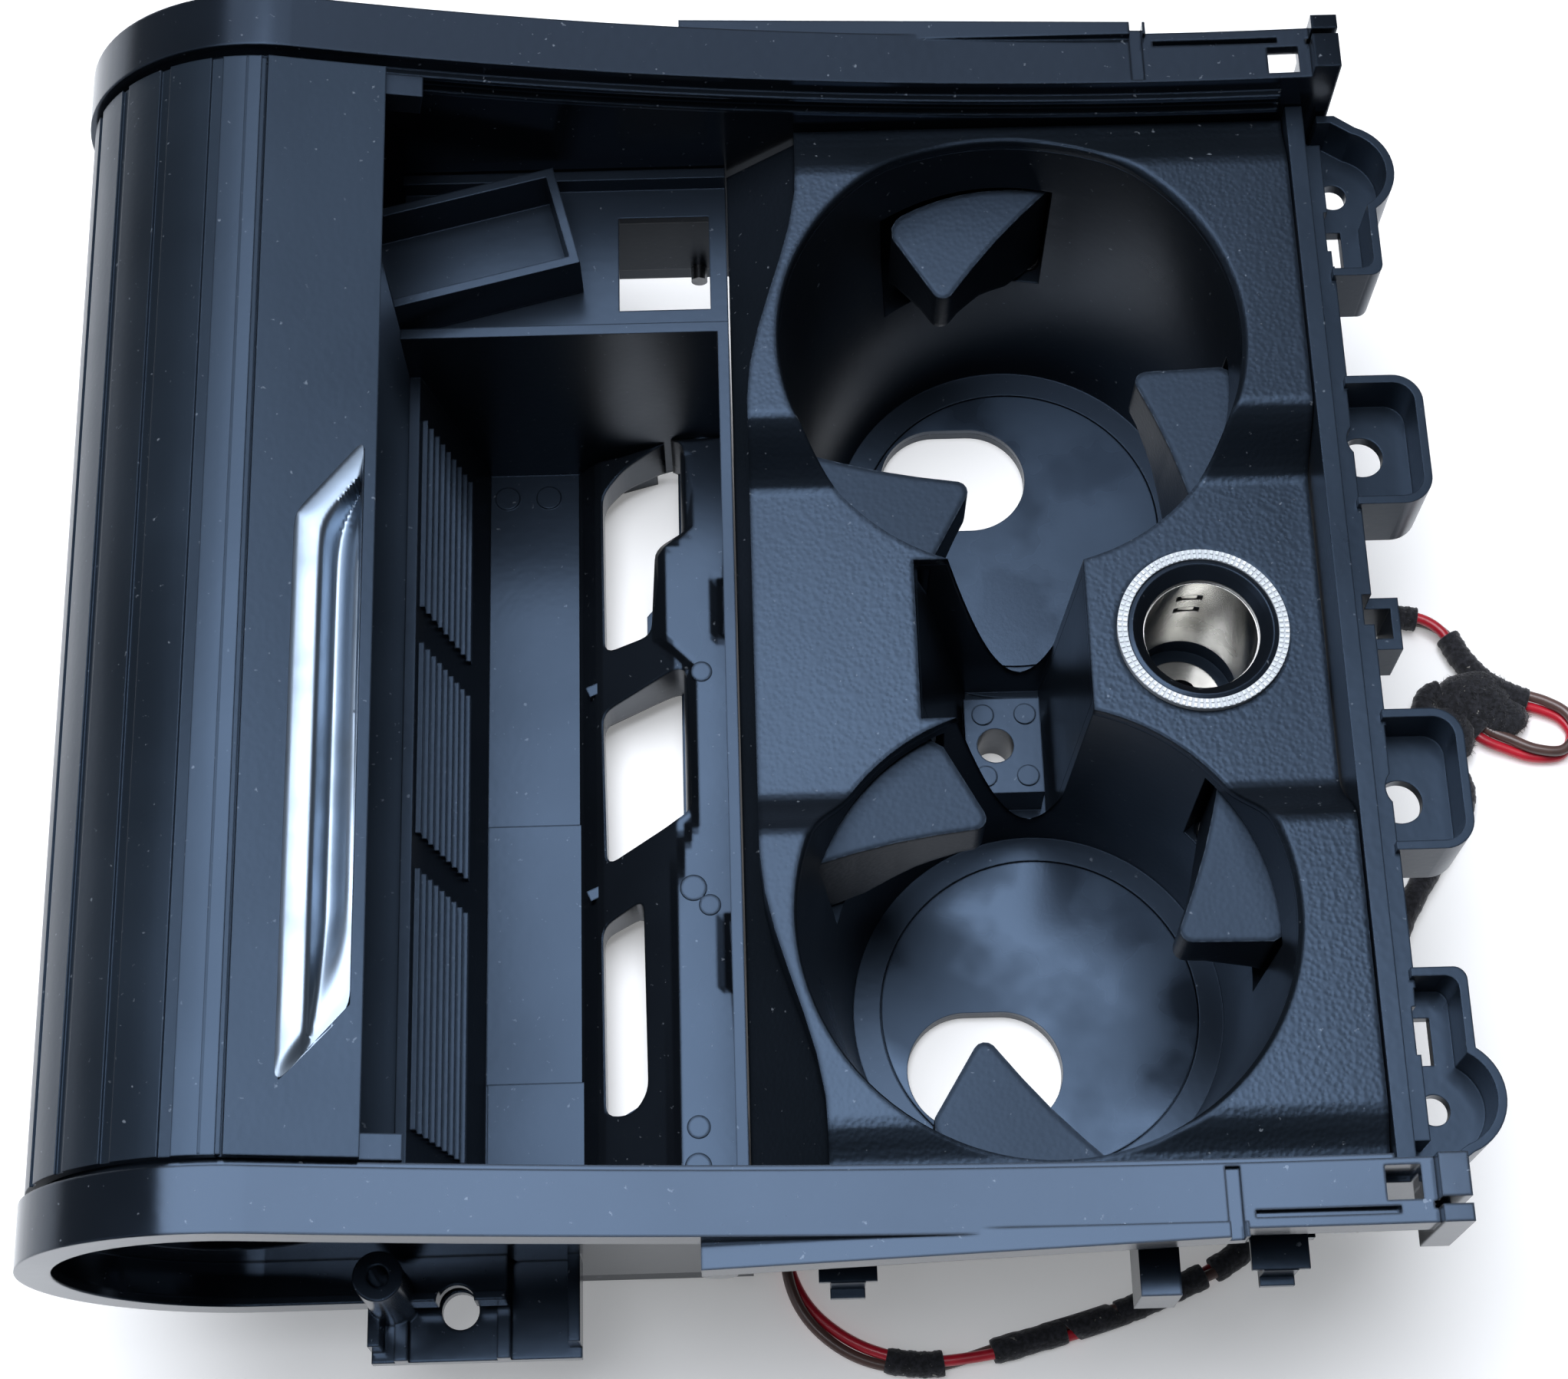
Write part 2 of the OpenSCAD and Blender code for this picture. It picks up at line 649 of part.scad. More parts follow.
module side_frame(side) {
    bracket_z = -33;
    color([0.08, 0.09, 0.10]) mirror([0, side == near ? 1 : 0, 0]) difference() {
        union() {
            along_y(rail_in_y, rail_in_y + plate_t) side_plate();
            along_y(rail_in_y, rail_out_y) track(0, rail_t, -6, low_run_x - 14);
            along_y(rail_out_y - 1.8, rail_out_y) track(0, 6, -6, low_run_x - 14);
            // Two guide ribs that form the door's groove
            along_y(rail_in_y - guide_reach, rail_in_y + eps) {
                track(guide_top, guide_top + guide_t, -12, tray_front - 0.5);
                track(guide_low, guide_low + guide_t, -12, tray_front - 0.5);
            }
            // Wedge strip on the outer edge
            translate([0, 0, rail_z - 4]) linear_extrude(height = 5.6)
                polygon([[-128, rail_out_y - 1], [-128, rail_out_y + 4.6], [-38, rail_out_y + 1.6], [-38, rail_out_y - 1]]);
            // Hook that closes the rail at the rear
            translate([-6.4, rail_in_y, rail_z - 17]) cube([5, rail_w + 0.6, 21]);
            // Side bracket with its two outer ribs
            translate([-bracket_back - 16, rail_in_y, bracket_z - 2.6]) cube([38, 20, 2.6]);
            for (dx = [-10.5, 8]) translate([-bracket_back + dx - 1.2, rail_in_y, bracket_z - 2.6]) cube([2.4, 20, 5]);
            translate([-bracket_back - 16, rail_in_y, bracket_z - 2.6]) cube([2.2, 18, 9]);
            translate([-bracket_back + 19.8, rail_in_y, bracket_z - 2.6]) cube([2.2, 18, 9]);
            translate([-bracket_back - 12, rail_in_y + 9, bracket_z - 1]) cylinder(h = 26, r = 4.4, $fn = small_fn);
            // Clip seats and the square post below the outer edge
            for (x = clip_places) translate([x, rail_in_y + eps, -2]) cube([clip_w, rail_w - 2.5, 2.5]);
            translate([-53.8, rail_in_y + eps, -10]) cube([7, 18, 12]);
        }
        translate([-bracket_back, rail_in_y + 11, bracket_z - 10]) cylinder(h = 30, r = bracket_hole_r, $fn = small_fn);
        translate([-bracket_back - 12, rail_in_y + 9, bracket_z + 8]) cylinder(h = 30, r = 1.9, $fn = small_fn);
        // Cross groove, pocket and edge groove at the rear of the rail
        translate([-41, rail_in_y + 0.6, rail_z - 1.3]) cube([2.5, rail_w + 3, 8]);
        translate([-14.6, rail_in_y + 1.2, rail_z - 8]) cube([5.9, 5.8, 16]);
        translate([-36.5, rail_in_y + 8, rail_z - 1.6]) cube([24, 1.2, 8]);
        translate([-7, rail_in_y + 7.4, rail_z - 12]) cube([7, 1.2, 20]);
        for (p = screw_places) translate([p[0], rail_in_y - 5, p[1]]) rotate([-90, 0, 0])
            cylinder(h = 12, r = 1.75, $fn = small_fn);
    }
}

clip_places = [-110, -36];
clip_w = 13;
rear_screw_z = -14;
screw_places = [[-160, -40], [-126, -40], [ledge_x - 4.5, rear_screw_z]];

module side_screws() {
    color([0.62, 0.62, 0.64]) both_sides() for (p = screw_places)
        translate([p[0], rail_in_y + plate_t, p[1]]) rotate([-90, 0, 0]) {
            cylinder(h = 2.2, r = 3.4, $fn = small_fn);
            translate([0, 0, -8]) cylinder(h = 8 + eps, r = 1.7, $fn = small_fn);
        }
}

module side_clips() {
    color([0.2, 0.22, 0.24]) both_sides() for (x = clip_places)
        translate([x + 1.5, rail_in_y + plate_t, 0.5]) {
            cube([clip_w - 3, 11.6, 1.2]);
            translate([2, 10.4, -6]) cube([clip_w - 7, 1.4, 7]);
            translate([2, 10.4, -6]) cube([clip_w - 7, 3, 1.6]);
        }
}

// Cross-section of the tray's trough in the XZ plane
module tray_profile() {
    w = tray_wall;
    z = tray_floor_z;
    top = shelf_z - 12;
    polygon([
        [tray_front, top], [tray_front + w, top], [strip_front + 0.6, z], [strip_rear, z], [strip_rear, z - w],
        [strip_front - 1, z - w]
    ]);
    translate([strip_rear - eps, z - w]) square([bar_front - strip_rear + 2, w]);
    // The bar is a hollow ridge with a rounded top
    difference() {
        union() {
            translate([bar_front, z - w]) square([bar_w, bar_h - bar_w / 2 + w]);
            translate([bar_front + bar_w / 2, z + bar_h - bar_w / 2]) circle(d = bar_w, $fn = small_fn);
        }
        translate([bar_front + w, z - w - 1]) square([bar_w - 2 * w, bar_h - bar_w / 2 + w + 1]);
        translate([bar_front + bar_w / 2, z + bar_h - bar_w / 2]) circle(d = bar_w - 2 * w, $fn = small_fn);
    }
    // Rear wall of the trough
    translate([bar_front + bar_w - eps, z - w]) square([tray_rear - bar_front - bar_w + eps, w]);
    translate([tray_rear - w, z - w]) square([w, rim_z - 16 - z + w]);
}

// Slanted see-through openings between the strip and the bar
module tray_openings() {
    x0 = strip_rear + 0.8;
    x1 = bar_front - 0.8;
    cuts = [
        [[x0, 19], [x0, 60], [x0 + 6, 66], [x1, 69.2], [x1, 42], [x1 - 7, 34], [x1 - 7, 23]],
        [[x0, -25], [x0, 9], [x1, 17.5], [x1, -13]],
        [[x0, -76], [x0, -36], [x1 - 8, -31], [x1 - 8, -70]]
    ];
    for (c = cuts) translate([0, 0, ground_z - 1]) linear_extrude(height = tray_floor_h + 2) polygon(c);
}

module storage_tray() {
    w = tray_wall;
    top = shelf_z - 12;
    lean = (strip_front + 0.6 - tray_front - w) / (top - tray_floor_z);
    color([0.11, 0.12, 0.14]) difference() {
        union() {
            along_y(-tray_half, tray_far_y) tray_profile();
            // End walls
            for (y = [-tray_half, tray_far_y - w]) along_y(y, y + w) polygon([
                [tray_front, top], [strip_front - 1, tray_floor_z - w], [tray_rear, tray_floor_z - w],
                [tray_rear, rim_z - 16], [tray_front, rim_z - 16]
            ]);
            // Shelf beyond the trough, with its outer wall
            translate([tray_front, tray_far_y - w, shelf_z - w]) cube([tray_rear - tray_front, tray_half - tray_far_y + w, w]);
            translate([tray_front, tray_half - w, top - 20]) cube([tray_rear - tray_front, w, rim_z - 16 - top + 20]);
            translate([-152, tray_far_y - w, top - 20]) cube([w, tray_half - tray_far_y + w, shelf_z - top + 20]);
            // Diagonal ribs over the floor
            for (y = [13.5, -30.5]) translate([strip_rear, y, tray_floor_z - w]) rotate([0, 0, 24]) cube([20, w, 9]);
            // Ribs under the floor that the tray stands on
            for (y = [-96, -52, -8, 36, 66]) translate([strip_front + 1, y, ground_z])
                cube([tray_rear - strip_front - 3, 2, tray_floor_h - w + eps]);
            // Low pads, two discs and a step on the smooth strip
            translate([strip_front + 1, -91.5, tray_floor_z - eps]) cube([strip_w - 2.5, 25.5, 0.5]);
            translate([strip_front + 0.7, -66, tray_floor_z - eps]) cube([strip_w - 0.9, 54, 0.25]);
            for (p = [[11.3, -87.8, 0.9], [4.2, 62.3, 0.3], [13, 62.3, 0.3]])
                translate([strip_front + p[0], p[1], tray_floor_z - eps]) cylinder(h = p[2], r = 2.6, $fn = small_fn);
            // Three groups of fine ribs on the sloping wall
            for (k = [0:8], g = [[-85, -35], [-28, 11], [18.5, 59]]) along_y(g[0], g[1])
                translate([tray_front + w + lean * (4 + 3.55 * k) - 0.5, top - 4 - 3.55 * k]) square([1.1, 2.2]);
        }
        tray_openings();
        // Square hole in the shelf and the clip windows in the rear wall
        translate([-141.4, 75, shelf_z - 10]) cube([18, 21, 20]);
        for (y = [26, -46]) translate([tray_rear - 5, y - 7, -40]) cube([10, 14, 7]);
        for (side = [far, near], p = [screw_places[0], screw_places[1]])
            translate([p[0], side * (rail_in_y + 1), p[1]]) rotate([side * 90, 0, 0])
                cylinder(h = 12, r = 1.75, $fn = small_fn);
    }
}

// Slanted channel in the tray's far front corner
module corner_pocket() {
    w = 1.8;
    color([0.09, 0.10, 0.11]) translate([-169, 85.6, shelf_z + gap]) rotate([0, 0, 14]) difference() {
        translate([-18.5, -11, 0]) cube([37, 22, 11.7]);
        translate([-30, -11 + w, w]) cube([30 + 18.5 - w, 22 - 2 * w, 20]);
    }
}

// A strip of the door's path on the top run, between two travel angles
module door_strip(a0, a1, d0, d1) {
    far_out = rail_r + 90;
    intersection() {
        translate([-rail_low_back, rail_cz]) difference() {
            circle(r = door_r + d1, $fn = arc_fn);
            circle(r = door_r + d0, $fn = arc_fn);
        }
        polygon([
            [-rail_low_back, rail_cz],
            [-rail_low_back - far_out * sin(a0), rail_cz - far_out * cos(a0)],
            [-rail_low_back - far_out * sin(a1), rail_cz - far_out * cos(a1)]
        ]);
    }
}

// Handle recess in plan: a slanted parallelogram
module handle_plan(inset) {
    x0 = -door_front - 13.2;
    x1 = -door_front - 1.9;
    polygon([
        [x0 + inset, 10.4 - inset], [x1 - inset, 24.1 - 2.2 * inset],
        [x1 - inset, -78 + inset], [x0 + inset, -91.2 + 2.2 * inset]
    ]);
}

module door_panel() {
    color([0.12, 0.14, 0.17]) difference() {
        union() {
            along_y(-door_y, door_y) door_strip(door_a0, door_a0 + door_span, 0, door_t);
            along_y(-door_y + 6, door_y - 6) door_strip(door_a0, door_a0 + 0.16, 0, door_t + 1.6);
            intersection() {
                along_y(-door_y, door_y) door_strip(door_a0, door_a0 + door_span, 0.3, 5.6);
                translate([0, 0, -50]) linear_extrude(height = 200) handle_plan(-1.4);
            }
        }
        intersection() {
            along_y(-door_y, door_y) door_strip(door_a0, door_a0 + door_span, -1, 4.4);
            translate([0, 0, -50]) linear_extrude(height = 200) handle_plan(0.2);
        }
    }
}

// Bright bar along the recess, which narrows to a point
module door_handle() {
    x0 = -door_front - 13.2;
    x1 = -door_front - 1.9;
    color([0.72, 0.74, 0.76]) intersection() {
        along_y(-door_y, door_y) door_strip(door_a0, door_a0 + door_span, -1.1, 4.4 - gap);
        translate([0, 0, -50]) linear_extrude(height = 200) polygon([
            [x0 + 0.5, 9.6], [x1 - 0.6, 22.6], [x1 - 0.6, 17.4], [x0 + 6.2, 7.6],
            [x0 + 6.0, -60], [x0 + 5.2, -80], [x0 + 0.8, -89.6], [x0 + 0.5, -88]
        ]);
    }
}

module door_shoe(side) {
    color([0.07, 0.08, 0.09]) mirror([0, side == near ? 1 : 0, 0]) {
        along_y(door_y - 4.5, door_y - 0.1) door_strip(door_a0 - 0.55, door_a0 + 0.9, door_t, guide_low - door_sink + 0.6);
        along_y(door_y - 4.5, rail_in_y - 0.3)
            door_strip(door_a0 - 0.55, door_a0 + 0.9, guide_top + guide_t + 0.4 - door_sink, guide_low - 0.4 - door_sink);
    }
}

// Slats round the nose and on the lower run: one grooved moulding
module roller_curtain() {
    r = nose_r - door_sink;
    tail_x = tray_front - gap;
    step = slat_pitch / r * 180 / PI;
    count = floor((180 - 8) / step);
    start = 90 - nose_a + 4;
    color([0.12, 0.14, 0.17]) difference() {
        along_y(-door_y, door_y) {
            intersection() {
                translate([-nose_back, nose_z]) difference() {
                    circle(r = r, $fn = round_fn * 2);
                    circle(r = r - door_t, $fn = round_fn * 2);
                }
                polygon([
                    [-nose_back, nose_z],
                    [-nose_back + 90 * cos(start + 4.2), nose_z + 90 * sin(start + 4.2)],
                    [-nose_back - 90, nose_z + 90], [-nose_back - 90, nose_z - 90], [-nose_back, nose_z - 90]
                ]);
            }
            translate([-nose_back - eps, nose_z - r]) square([tail_x + nose_back, door_t]);
        }
        for (k = [1:count]) translate([-nose_back, 0, nose_z]) rotate([0, -(start + k * step), 0])
            translate([r - 0.6, -door_y - 1, -slat_groove / 2]) cube([3, 2 * door_y + 2, slat_groove]);
        for (k = [1:2]) translate([-nose_back + k * slat_pitch - slat_groove, -door_y - 1, nose_z - r - 1])
            cube([slat_groove, 2 * door_y + 2, 1.6]);
    }
}

// Thin web that the curtain pays out from under the door
module curtain_web() {
    color([0.10, 0.11, 0.13]) along_y(-door_y + 8, door_y - 8)
        door_strip(door_a0 + 0.35, door_a0 + door_span - 0.25, 6.2, 7);
}

module socket_body() {
    low = socket_z - shell_l - 12;
    color([0.07, 0.07, 0.08]) translate([-socket_back, 0, 0]) difference() {
        union() {
            translate([0, 0, low]) cylinder(h = socket_z - 2.4 - low, r = body_r, $fn = round_fn);
            translate([-6, -4, low - 6]) cube([12, 8, 7]);
        }
        translate([0, 0, low + 3]) cylinder(h = shell_l + 20, r = shell_r + shell_t + 0.05, $fn = round_fn);
    }
}

module socket_shell() {
    top = socket_z - 2.4;
    color([0.8, 0.8, 0.8]) translate([-socket_back, 0, 0]) difference() {
        translate([0, 0, top - shell_l]) cylinder(h = shell_l, r = shell_r + shell_t, $fn = round_fn);
        translate([0, 0, top - shell_l - 1]) cylinder(h = shell_l + 2, r = shell_r, $fn = round_fn);
        for (z = [-6, -11.5]) translate([-3, shell_r - 2, top + z - 1.6]) cube([5, 6, 2.2]);
    }
}

module socket_contact() {
    low = socket_z - shell_l - 9;
    color([0.78, 0.76, 0.70]) translate([-socket_back, 0, low]) {
        cylinder(h = 1, r = 8.5, $fn = round_fn);
        cylinder(h = 4.5, r = 3.2, $fn = small_fn);
        translate([0, 0, 4.5 - eps]) cylinder(h = 1.3, r1 = 3.2, r2 = 1.8, $fn = small_fn);
    }
}

module socket_side_spring() {
    top = socket_z - 2.4;
    color([0.82, 0.8, 0.75]) translate([-socket_back, 0, 0])
        for (z = [-6, -11.5]) translate([-2, shell_r + 0.12, top + z - 1.2]) cube([3, 0.33, 1.4]);
}

module socket_collar() {
    color([0.09, 0.09, 0.10]) translate([-socket_back, 0, socket_z]) rotate_extrude($fn = round_fn) polygon([
        [shell_r + 0.3, -2.3], [body_r + 0.1, -1.1], [collar_r - 0.1, -1.1], [collar_r - 0.1, 0.9],
        [collar_r - 1, 1.2], [shell_r + 1.6, 0.2], [shell_r + 0.3, -1.4]
    ]);
}

module socket_light_ring() {
    color([0.85, 0.88, 0.9]) translate([-socket_back, 0, socket_z - 1.1]) difference() {
        cylinder(h = 2.3, r = ring_r, $fn = round_fn);
        translate([0, 0, -1]) cylinder(h = 5, r = collar_r, $fn = round_fn);
    }
}

module socket_plug() {
    low = socket_z - shell_l - 12;
    color([0.12, 0.12, 0.13]) translate([-socket_back, 0, low - 6]) difference() {
        translate([-7.6, -5.6, -3.5]) cube([15.2, 11.2, 7.5]);
        translate([-6.2, -4.2, -gap]) cube([12.4, 8.4, 8]);
    }
}

// A tube swept along points, with rings square to the path
function unit(v) = v / norm(v);
function tangent_at(p, i) = unit(p[min(i + 1, len(p) - 1)] - p[max(i - 1, 0)]);
module tube_along(p, r, sides) {
    rings = [for (i = [0:len(p) - 1]) let (
        t = tangent_at(p, i),
        u = unit(cross(t, abs(t[2]) > 0.9 ? [0, 1, 0] : [0, 0, 1])),
        v = cross(u, t)
    ) [for (k = [0:sides - 1]) p[i] + r * (cos(360 * k / sides) * u + sin(360 * k / sides) * v)]];
    points = [for (ring = rings) for (q = ring) q];
    last = (len(p) - 1) * sides;
    faces = concat(
        [[for (k = [0:sides - 1]) k]],
        [[for (k = [sides - 1:-1:0]) last + k]],
        [for (i = [0:len(p) - 2]) for (k = [0:sides - 1])
            [i * sides + k, (i + 1) * sides + k, (i + 1) * sides + (k + 1) % sides, i * sides + (k + 1) % sides]]
    );
    polyhedron(points = points, faces = faces, convexity = 6);
}

function between(p, i, f) = let (
    a = p[max(i - 1, 0)], b = p[i], c = p[i + 1], d = p[min(i + 2, len(p) - 1)]
) 0.5 * (2 * b + (c - a) * f + (2 * a - 5 * b + 4 * c - d) * f * f + (3 * b - a - 3 * c + d) * f * f * f);
function refined(p) = concat(
    [for (i = [0:len(p) - 2]) for (f = [0, 0.5]) between(p, i, f)],
    [p[len(p) - 1]]
);

module harness_cable() {
    color([0.13, 0.12, 0.12]) tube_along(refined(cable_route), cable_d / 2, 8);
}

module harness_connector() {
    end = cable_route[len(cable_route) - 1];
    color([0.14, 0.14, 0.15]) translate([end[0], end[1] - 1, ground_z]) {
        translate([-5, 0, 0]) cube([10, 16, 8]);
        translate([-3.4, 16 - eps, 1.4]) cube([6.8, 5, 5.2]);
    }
}

cup_panel();
cup_well(far);  // cup_well_far
cup_well(near);  // cup_well_near
neck_channel();
cup_mat(far);  // cup_mat_far
cup_mat(near);  // cup_mat_near
rear_carrier();
side_frame(far);  // far_side_frame
side_frame(near);  // near_side_frame
storage_tray();
corner_pocket();
door_panel();
door_handle();
door_shoe(far);  // door_shoe_far
door_shoe(near);  // door_shoe_near
roller_curtain();
curtain_web();
finger(far, 0);  // finger_far_1
finger(far, 1);  // finger_far_2
finger(far, 2);  // finger_far_3
finger(near, 0);  // finger_near_1
finger(near, 1);  // finger_near_2
finger(near, 2);  // finger_near_3
finger_pin(far, 0);  // finger_pin_far_1
finger_pin(far, 1);  // finger_pin_far_2
finger_pin(far, 2);  // finger_pin_far_3
finger_pin(near, 0);  // finger_pin_near_1
finger_pin(near, 1);  // finger_pin_near_2
finger_pin(near, 2);  // finger_pin_near_3
finger_spring(far, 0);  // finger_spring_far_1
finger_spring(far, 1);  // finger_spring_far_2
finger_spring(far, 2);  // finger_spring_far_3
finger_spring(near, 0);  // finger_spring_near_1
finger_spring(near, 1);  // finger_spring_near_2
finger_spring(near, 2);  // finger_spring_near_3
socket_body();
socket_shell();
socket_contact();
socket_side_spring();
socket_collar();
socket_light_ring();
socket_plug();
harness_cable();
harness_connector();
side_screws();
side_clips();
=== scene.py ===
"""Dresses the car console module: cup wells, socket, tray, roller door and wiring.

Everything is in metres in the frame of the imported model: +X towards the rear
ears, +Y across the module, +Z up. Dimensions come from the model or stand as
named values at the top of each section.
"""

import bisect
import math

import bpy
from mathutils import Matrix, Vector
from mathutils.geometry import delaunay_2d_cdt


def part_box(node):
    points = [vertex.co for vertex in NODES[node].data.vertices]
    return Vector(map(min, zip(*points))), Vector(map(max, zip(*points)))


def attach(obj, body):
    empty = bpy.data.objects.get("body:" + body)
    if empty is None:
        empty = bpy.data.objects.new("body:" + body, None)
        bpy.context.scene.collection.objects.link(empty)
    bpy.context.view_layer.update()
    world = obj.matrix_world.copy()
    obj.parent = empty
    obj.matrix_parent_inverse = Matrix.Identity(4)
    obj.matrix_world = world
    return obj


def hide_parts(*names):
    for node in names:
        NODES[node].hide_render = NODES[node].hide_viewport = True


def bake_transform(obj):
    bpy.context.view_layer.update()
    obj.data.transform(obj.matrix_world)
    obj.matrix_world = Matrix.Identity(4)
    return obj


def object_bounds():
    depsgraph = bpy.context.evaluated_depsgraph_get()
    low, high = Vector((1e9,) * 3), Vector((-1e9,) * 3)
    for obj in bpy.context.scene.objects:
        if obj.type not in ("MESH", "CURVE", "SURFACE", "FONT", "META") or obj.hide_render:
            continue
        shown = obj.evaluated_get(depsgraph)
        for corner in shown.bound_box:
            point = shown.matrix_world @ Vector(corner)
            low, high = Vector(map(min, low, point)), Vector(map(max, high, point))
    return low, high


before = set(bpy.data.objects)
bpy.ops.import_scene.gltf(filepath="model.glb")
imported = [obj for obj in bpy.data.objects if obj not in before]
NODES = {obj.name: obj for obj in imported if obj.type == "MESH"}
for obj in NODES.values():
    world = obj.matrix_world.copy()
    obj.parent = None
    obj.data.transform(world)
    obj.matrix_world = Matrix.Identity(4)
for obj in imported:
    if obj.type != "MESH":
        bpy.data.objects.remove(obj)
MM = 0.001
CAD_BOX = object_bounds()

bl_info = {
    "name": "Console Cup Module",
    "version": (1, 0, 0),
    "blender": (4, 5, 0),
    "location": "View3D > Sidebar > Console",
    "description": "Finishes and loose wiring of a console module with cup wells and a roller door",
    "category": "Object",
}

# Sizes

# Camera, from the photograph's perspective
CAMERA_PLACE = (-0.1171, -0.2107, 0.5049)
CAMERA_PITCH = 21.73
CAMERA_ROLL = -1.65
CAMERA_LENS = 67.61
SENSOR = 36.0

# Point that the lights face
LIGHT_AIM = (-0.11, 0.0, 0.0)

# Route of the taped wire pair in millimetres, the same points as in the model
ROUTE_MM = (
    (-33.1, 0, -48.5), (-33, 0.5, -55), (-31.5, 2.5, -62), (-27, 7, -67.5), (-19.5, 13, -69.8),
    (-8, 19.5, -69.8), (15, 29.5, -69.8), (23, 30.5, -69.8), (29, 27.5, -69.8), (32.5, 21, -69.8),
    (37, 15.5, -69.8), (43, 12, -69.8), (48.5, 10, -69.8), (52.5, 7.5, -69.8), (54, 3.5, -69.8),
    (51, -0.5, -69.8), (45.5, -0.5, -69.8), (40.5, 1.5, -69.8), (35, 4.5, -69.8), (32, 10, -69.8),
    (28.5, 13.5, -69.8), (24.5, 12.5, -69.8), (23, 8, -69.8), (24, 2.5, -69.8), (27.5, -3, -69.8),
    (29.5, -9.5, -69.8), (26, -17, -69.8), (14.5, -35, -69.8), (8, -50.5, -69.8), (0, -68, -69.8),
    (-12.5, -88.5, -69.8), (-25, -102.5, -69.8), (-40, -110, -69.8), (-54, -115, -69.8),
    (-80, -121.5, -69.8), (-91, -122, -69.8), (-101, -119, -69.8), (-109, -112.5, -69.8),
    (-113, -104, -69.8), (-113, -94, -69.8),
)

# Arc that the door rides on, in the XZ plane
RAIL_CENTRE = (-0.0338, 0.7525)

# Distance of each wire from the middle of the pair, as a share of its diameter
PAIR_SPREAD = 0.52

# Cool tint of the sheen on smooth black plastic and rubber, and the colours of dust and lint
SHEEN = "#a5c4ea"
DUST = "#8c949c"
LINT = "#9b9890"

# Real sizes of the patterns in millimetres
HAZE_MM = 55.0
FLECK_MM = 1.3
SCUFF_MM = 1.6

MATH = "ShaderNodeMath"


def linear(hex_colour):
    """Turns an sRGB hex colour into the linear RGBA that shaders use."""
    value = hex_colour.lstrip("#")
    channels = [int(value[i : i + 2], 16) / 255 for i in (0, 2, 4)]
    return tuple(c / 12.92 if c <= 0.04045 else ((c + 0.055) / 1.055) ** 2.4 for c in channels) + (1.0,)


# Node helper


def add_node(tree, kind, place=(0, 0), inputs=None, **settings):
    """Adds one node, sets its properties, and fills its inputs with values or links them.

    An input takes a value, a socket, a node, which lends its first output, or a list of these.
    """
    node = tree.nodes.new(kind)
    node.location = place
    for name, value in settings.items():
        setattr(node, name, value)
    for name, given in (inputs or {}).items():
        for value in given if isinstance(given, list) else [given]:
            source = value.outputs[0] if isinstance(value, bpy.types.Node) else value
            if isinstance(source, bpy.types.NodeSocket):
                tree.links.new(source, node.inputs[name])
            else:
                node.inputs[name].default_value = source
    return node


def start_material(name):
    """Makes an empty node material and returns it with its tree."""
    material = bpy.data.materials.new(name)
    material.use_nodes = True
    material.node_tree.nodes.clear()
    return material, material.node_tree


def end_material(tree, looks):
    """Ends a material in one shader whose sockets take the looks."""
    shader = add_node(tree, "ShaderNodeBsdfPrincipled", (600, 0), looks)
    add_node(tree, "ShaderNodeOutputMaterial", (900, 0), {0: shader})


def patches(tree, size_mm, detail, low, high, start, end, place, most=1.0):
    """Soft patches of a real size, from low to high as their noise climbs from start to end.

    Low and high are two numbers or two colours, and most is the share that high reaches.
    """
    x, y = place
    spot = add_node(tree, "ShaderNodeTexCoord", (x - 200, y))
    cloud = add_node(
        tree, "ShaderNodeTexNoise", place,
        {"Vector": spot.outputs["Object"], "Scale": 1000.0 / size_mm, "Detail": detail},
    )
    numbers = isinstance(high, float)
    limits = (low, high) if numbers else (0.0, most)
    share = add_node(
        tree, "ShaderNodeMapRange", (x + 200, y),
        {0: cloud.outputs["Fac"], 1: start, 2: end, 3: limits[0], 4: limits[1]},
    )
    if numbers:
        return share.outputs[0]
    mixed = add_node(tree, "ShaderNodeMix", (x + 400, y), {0: share, 6: low, 7: high}, data_type="RGBA")
    return mixed.outputs[2]


# Finishes


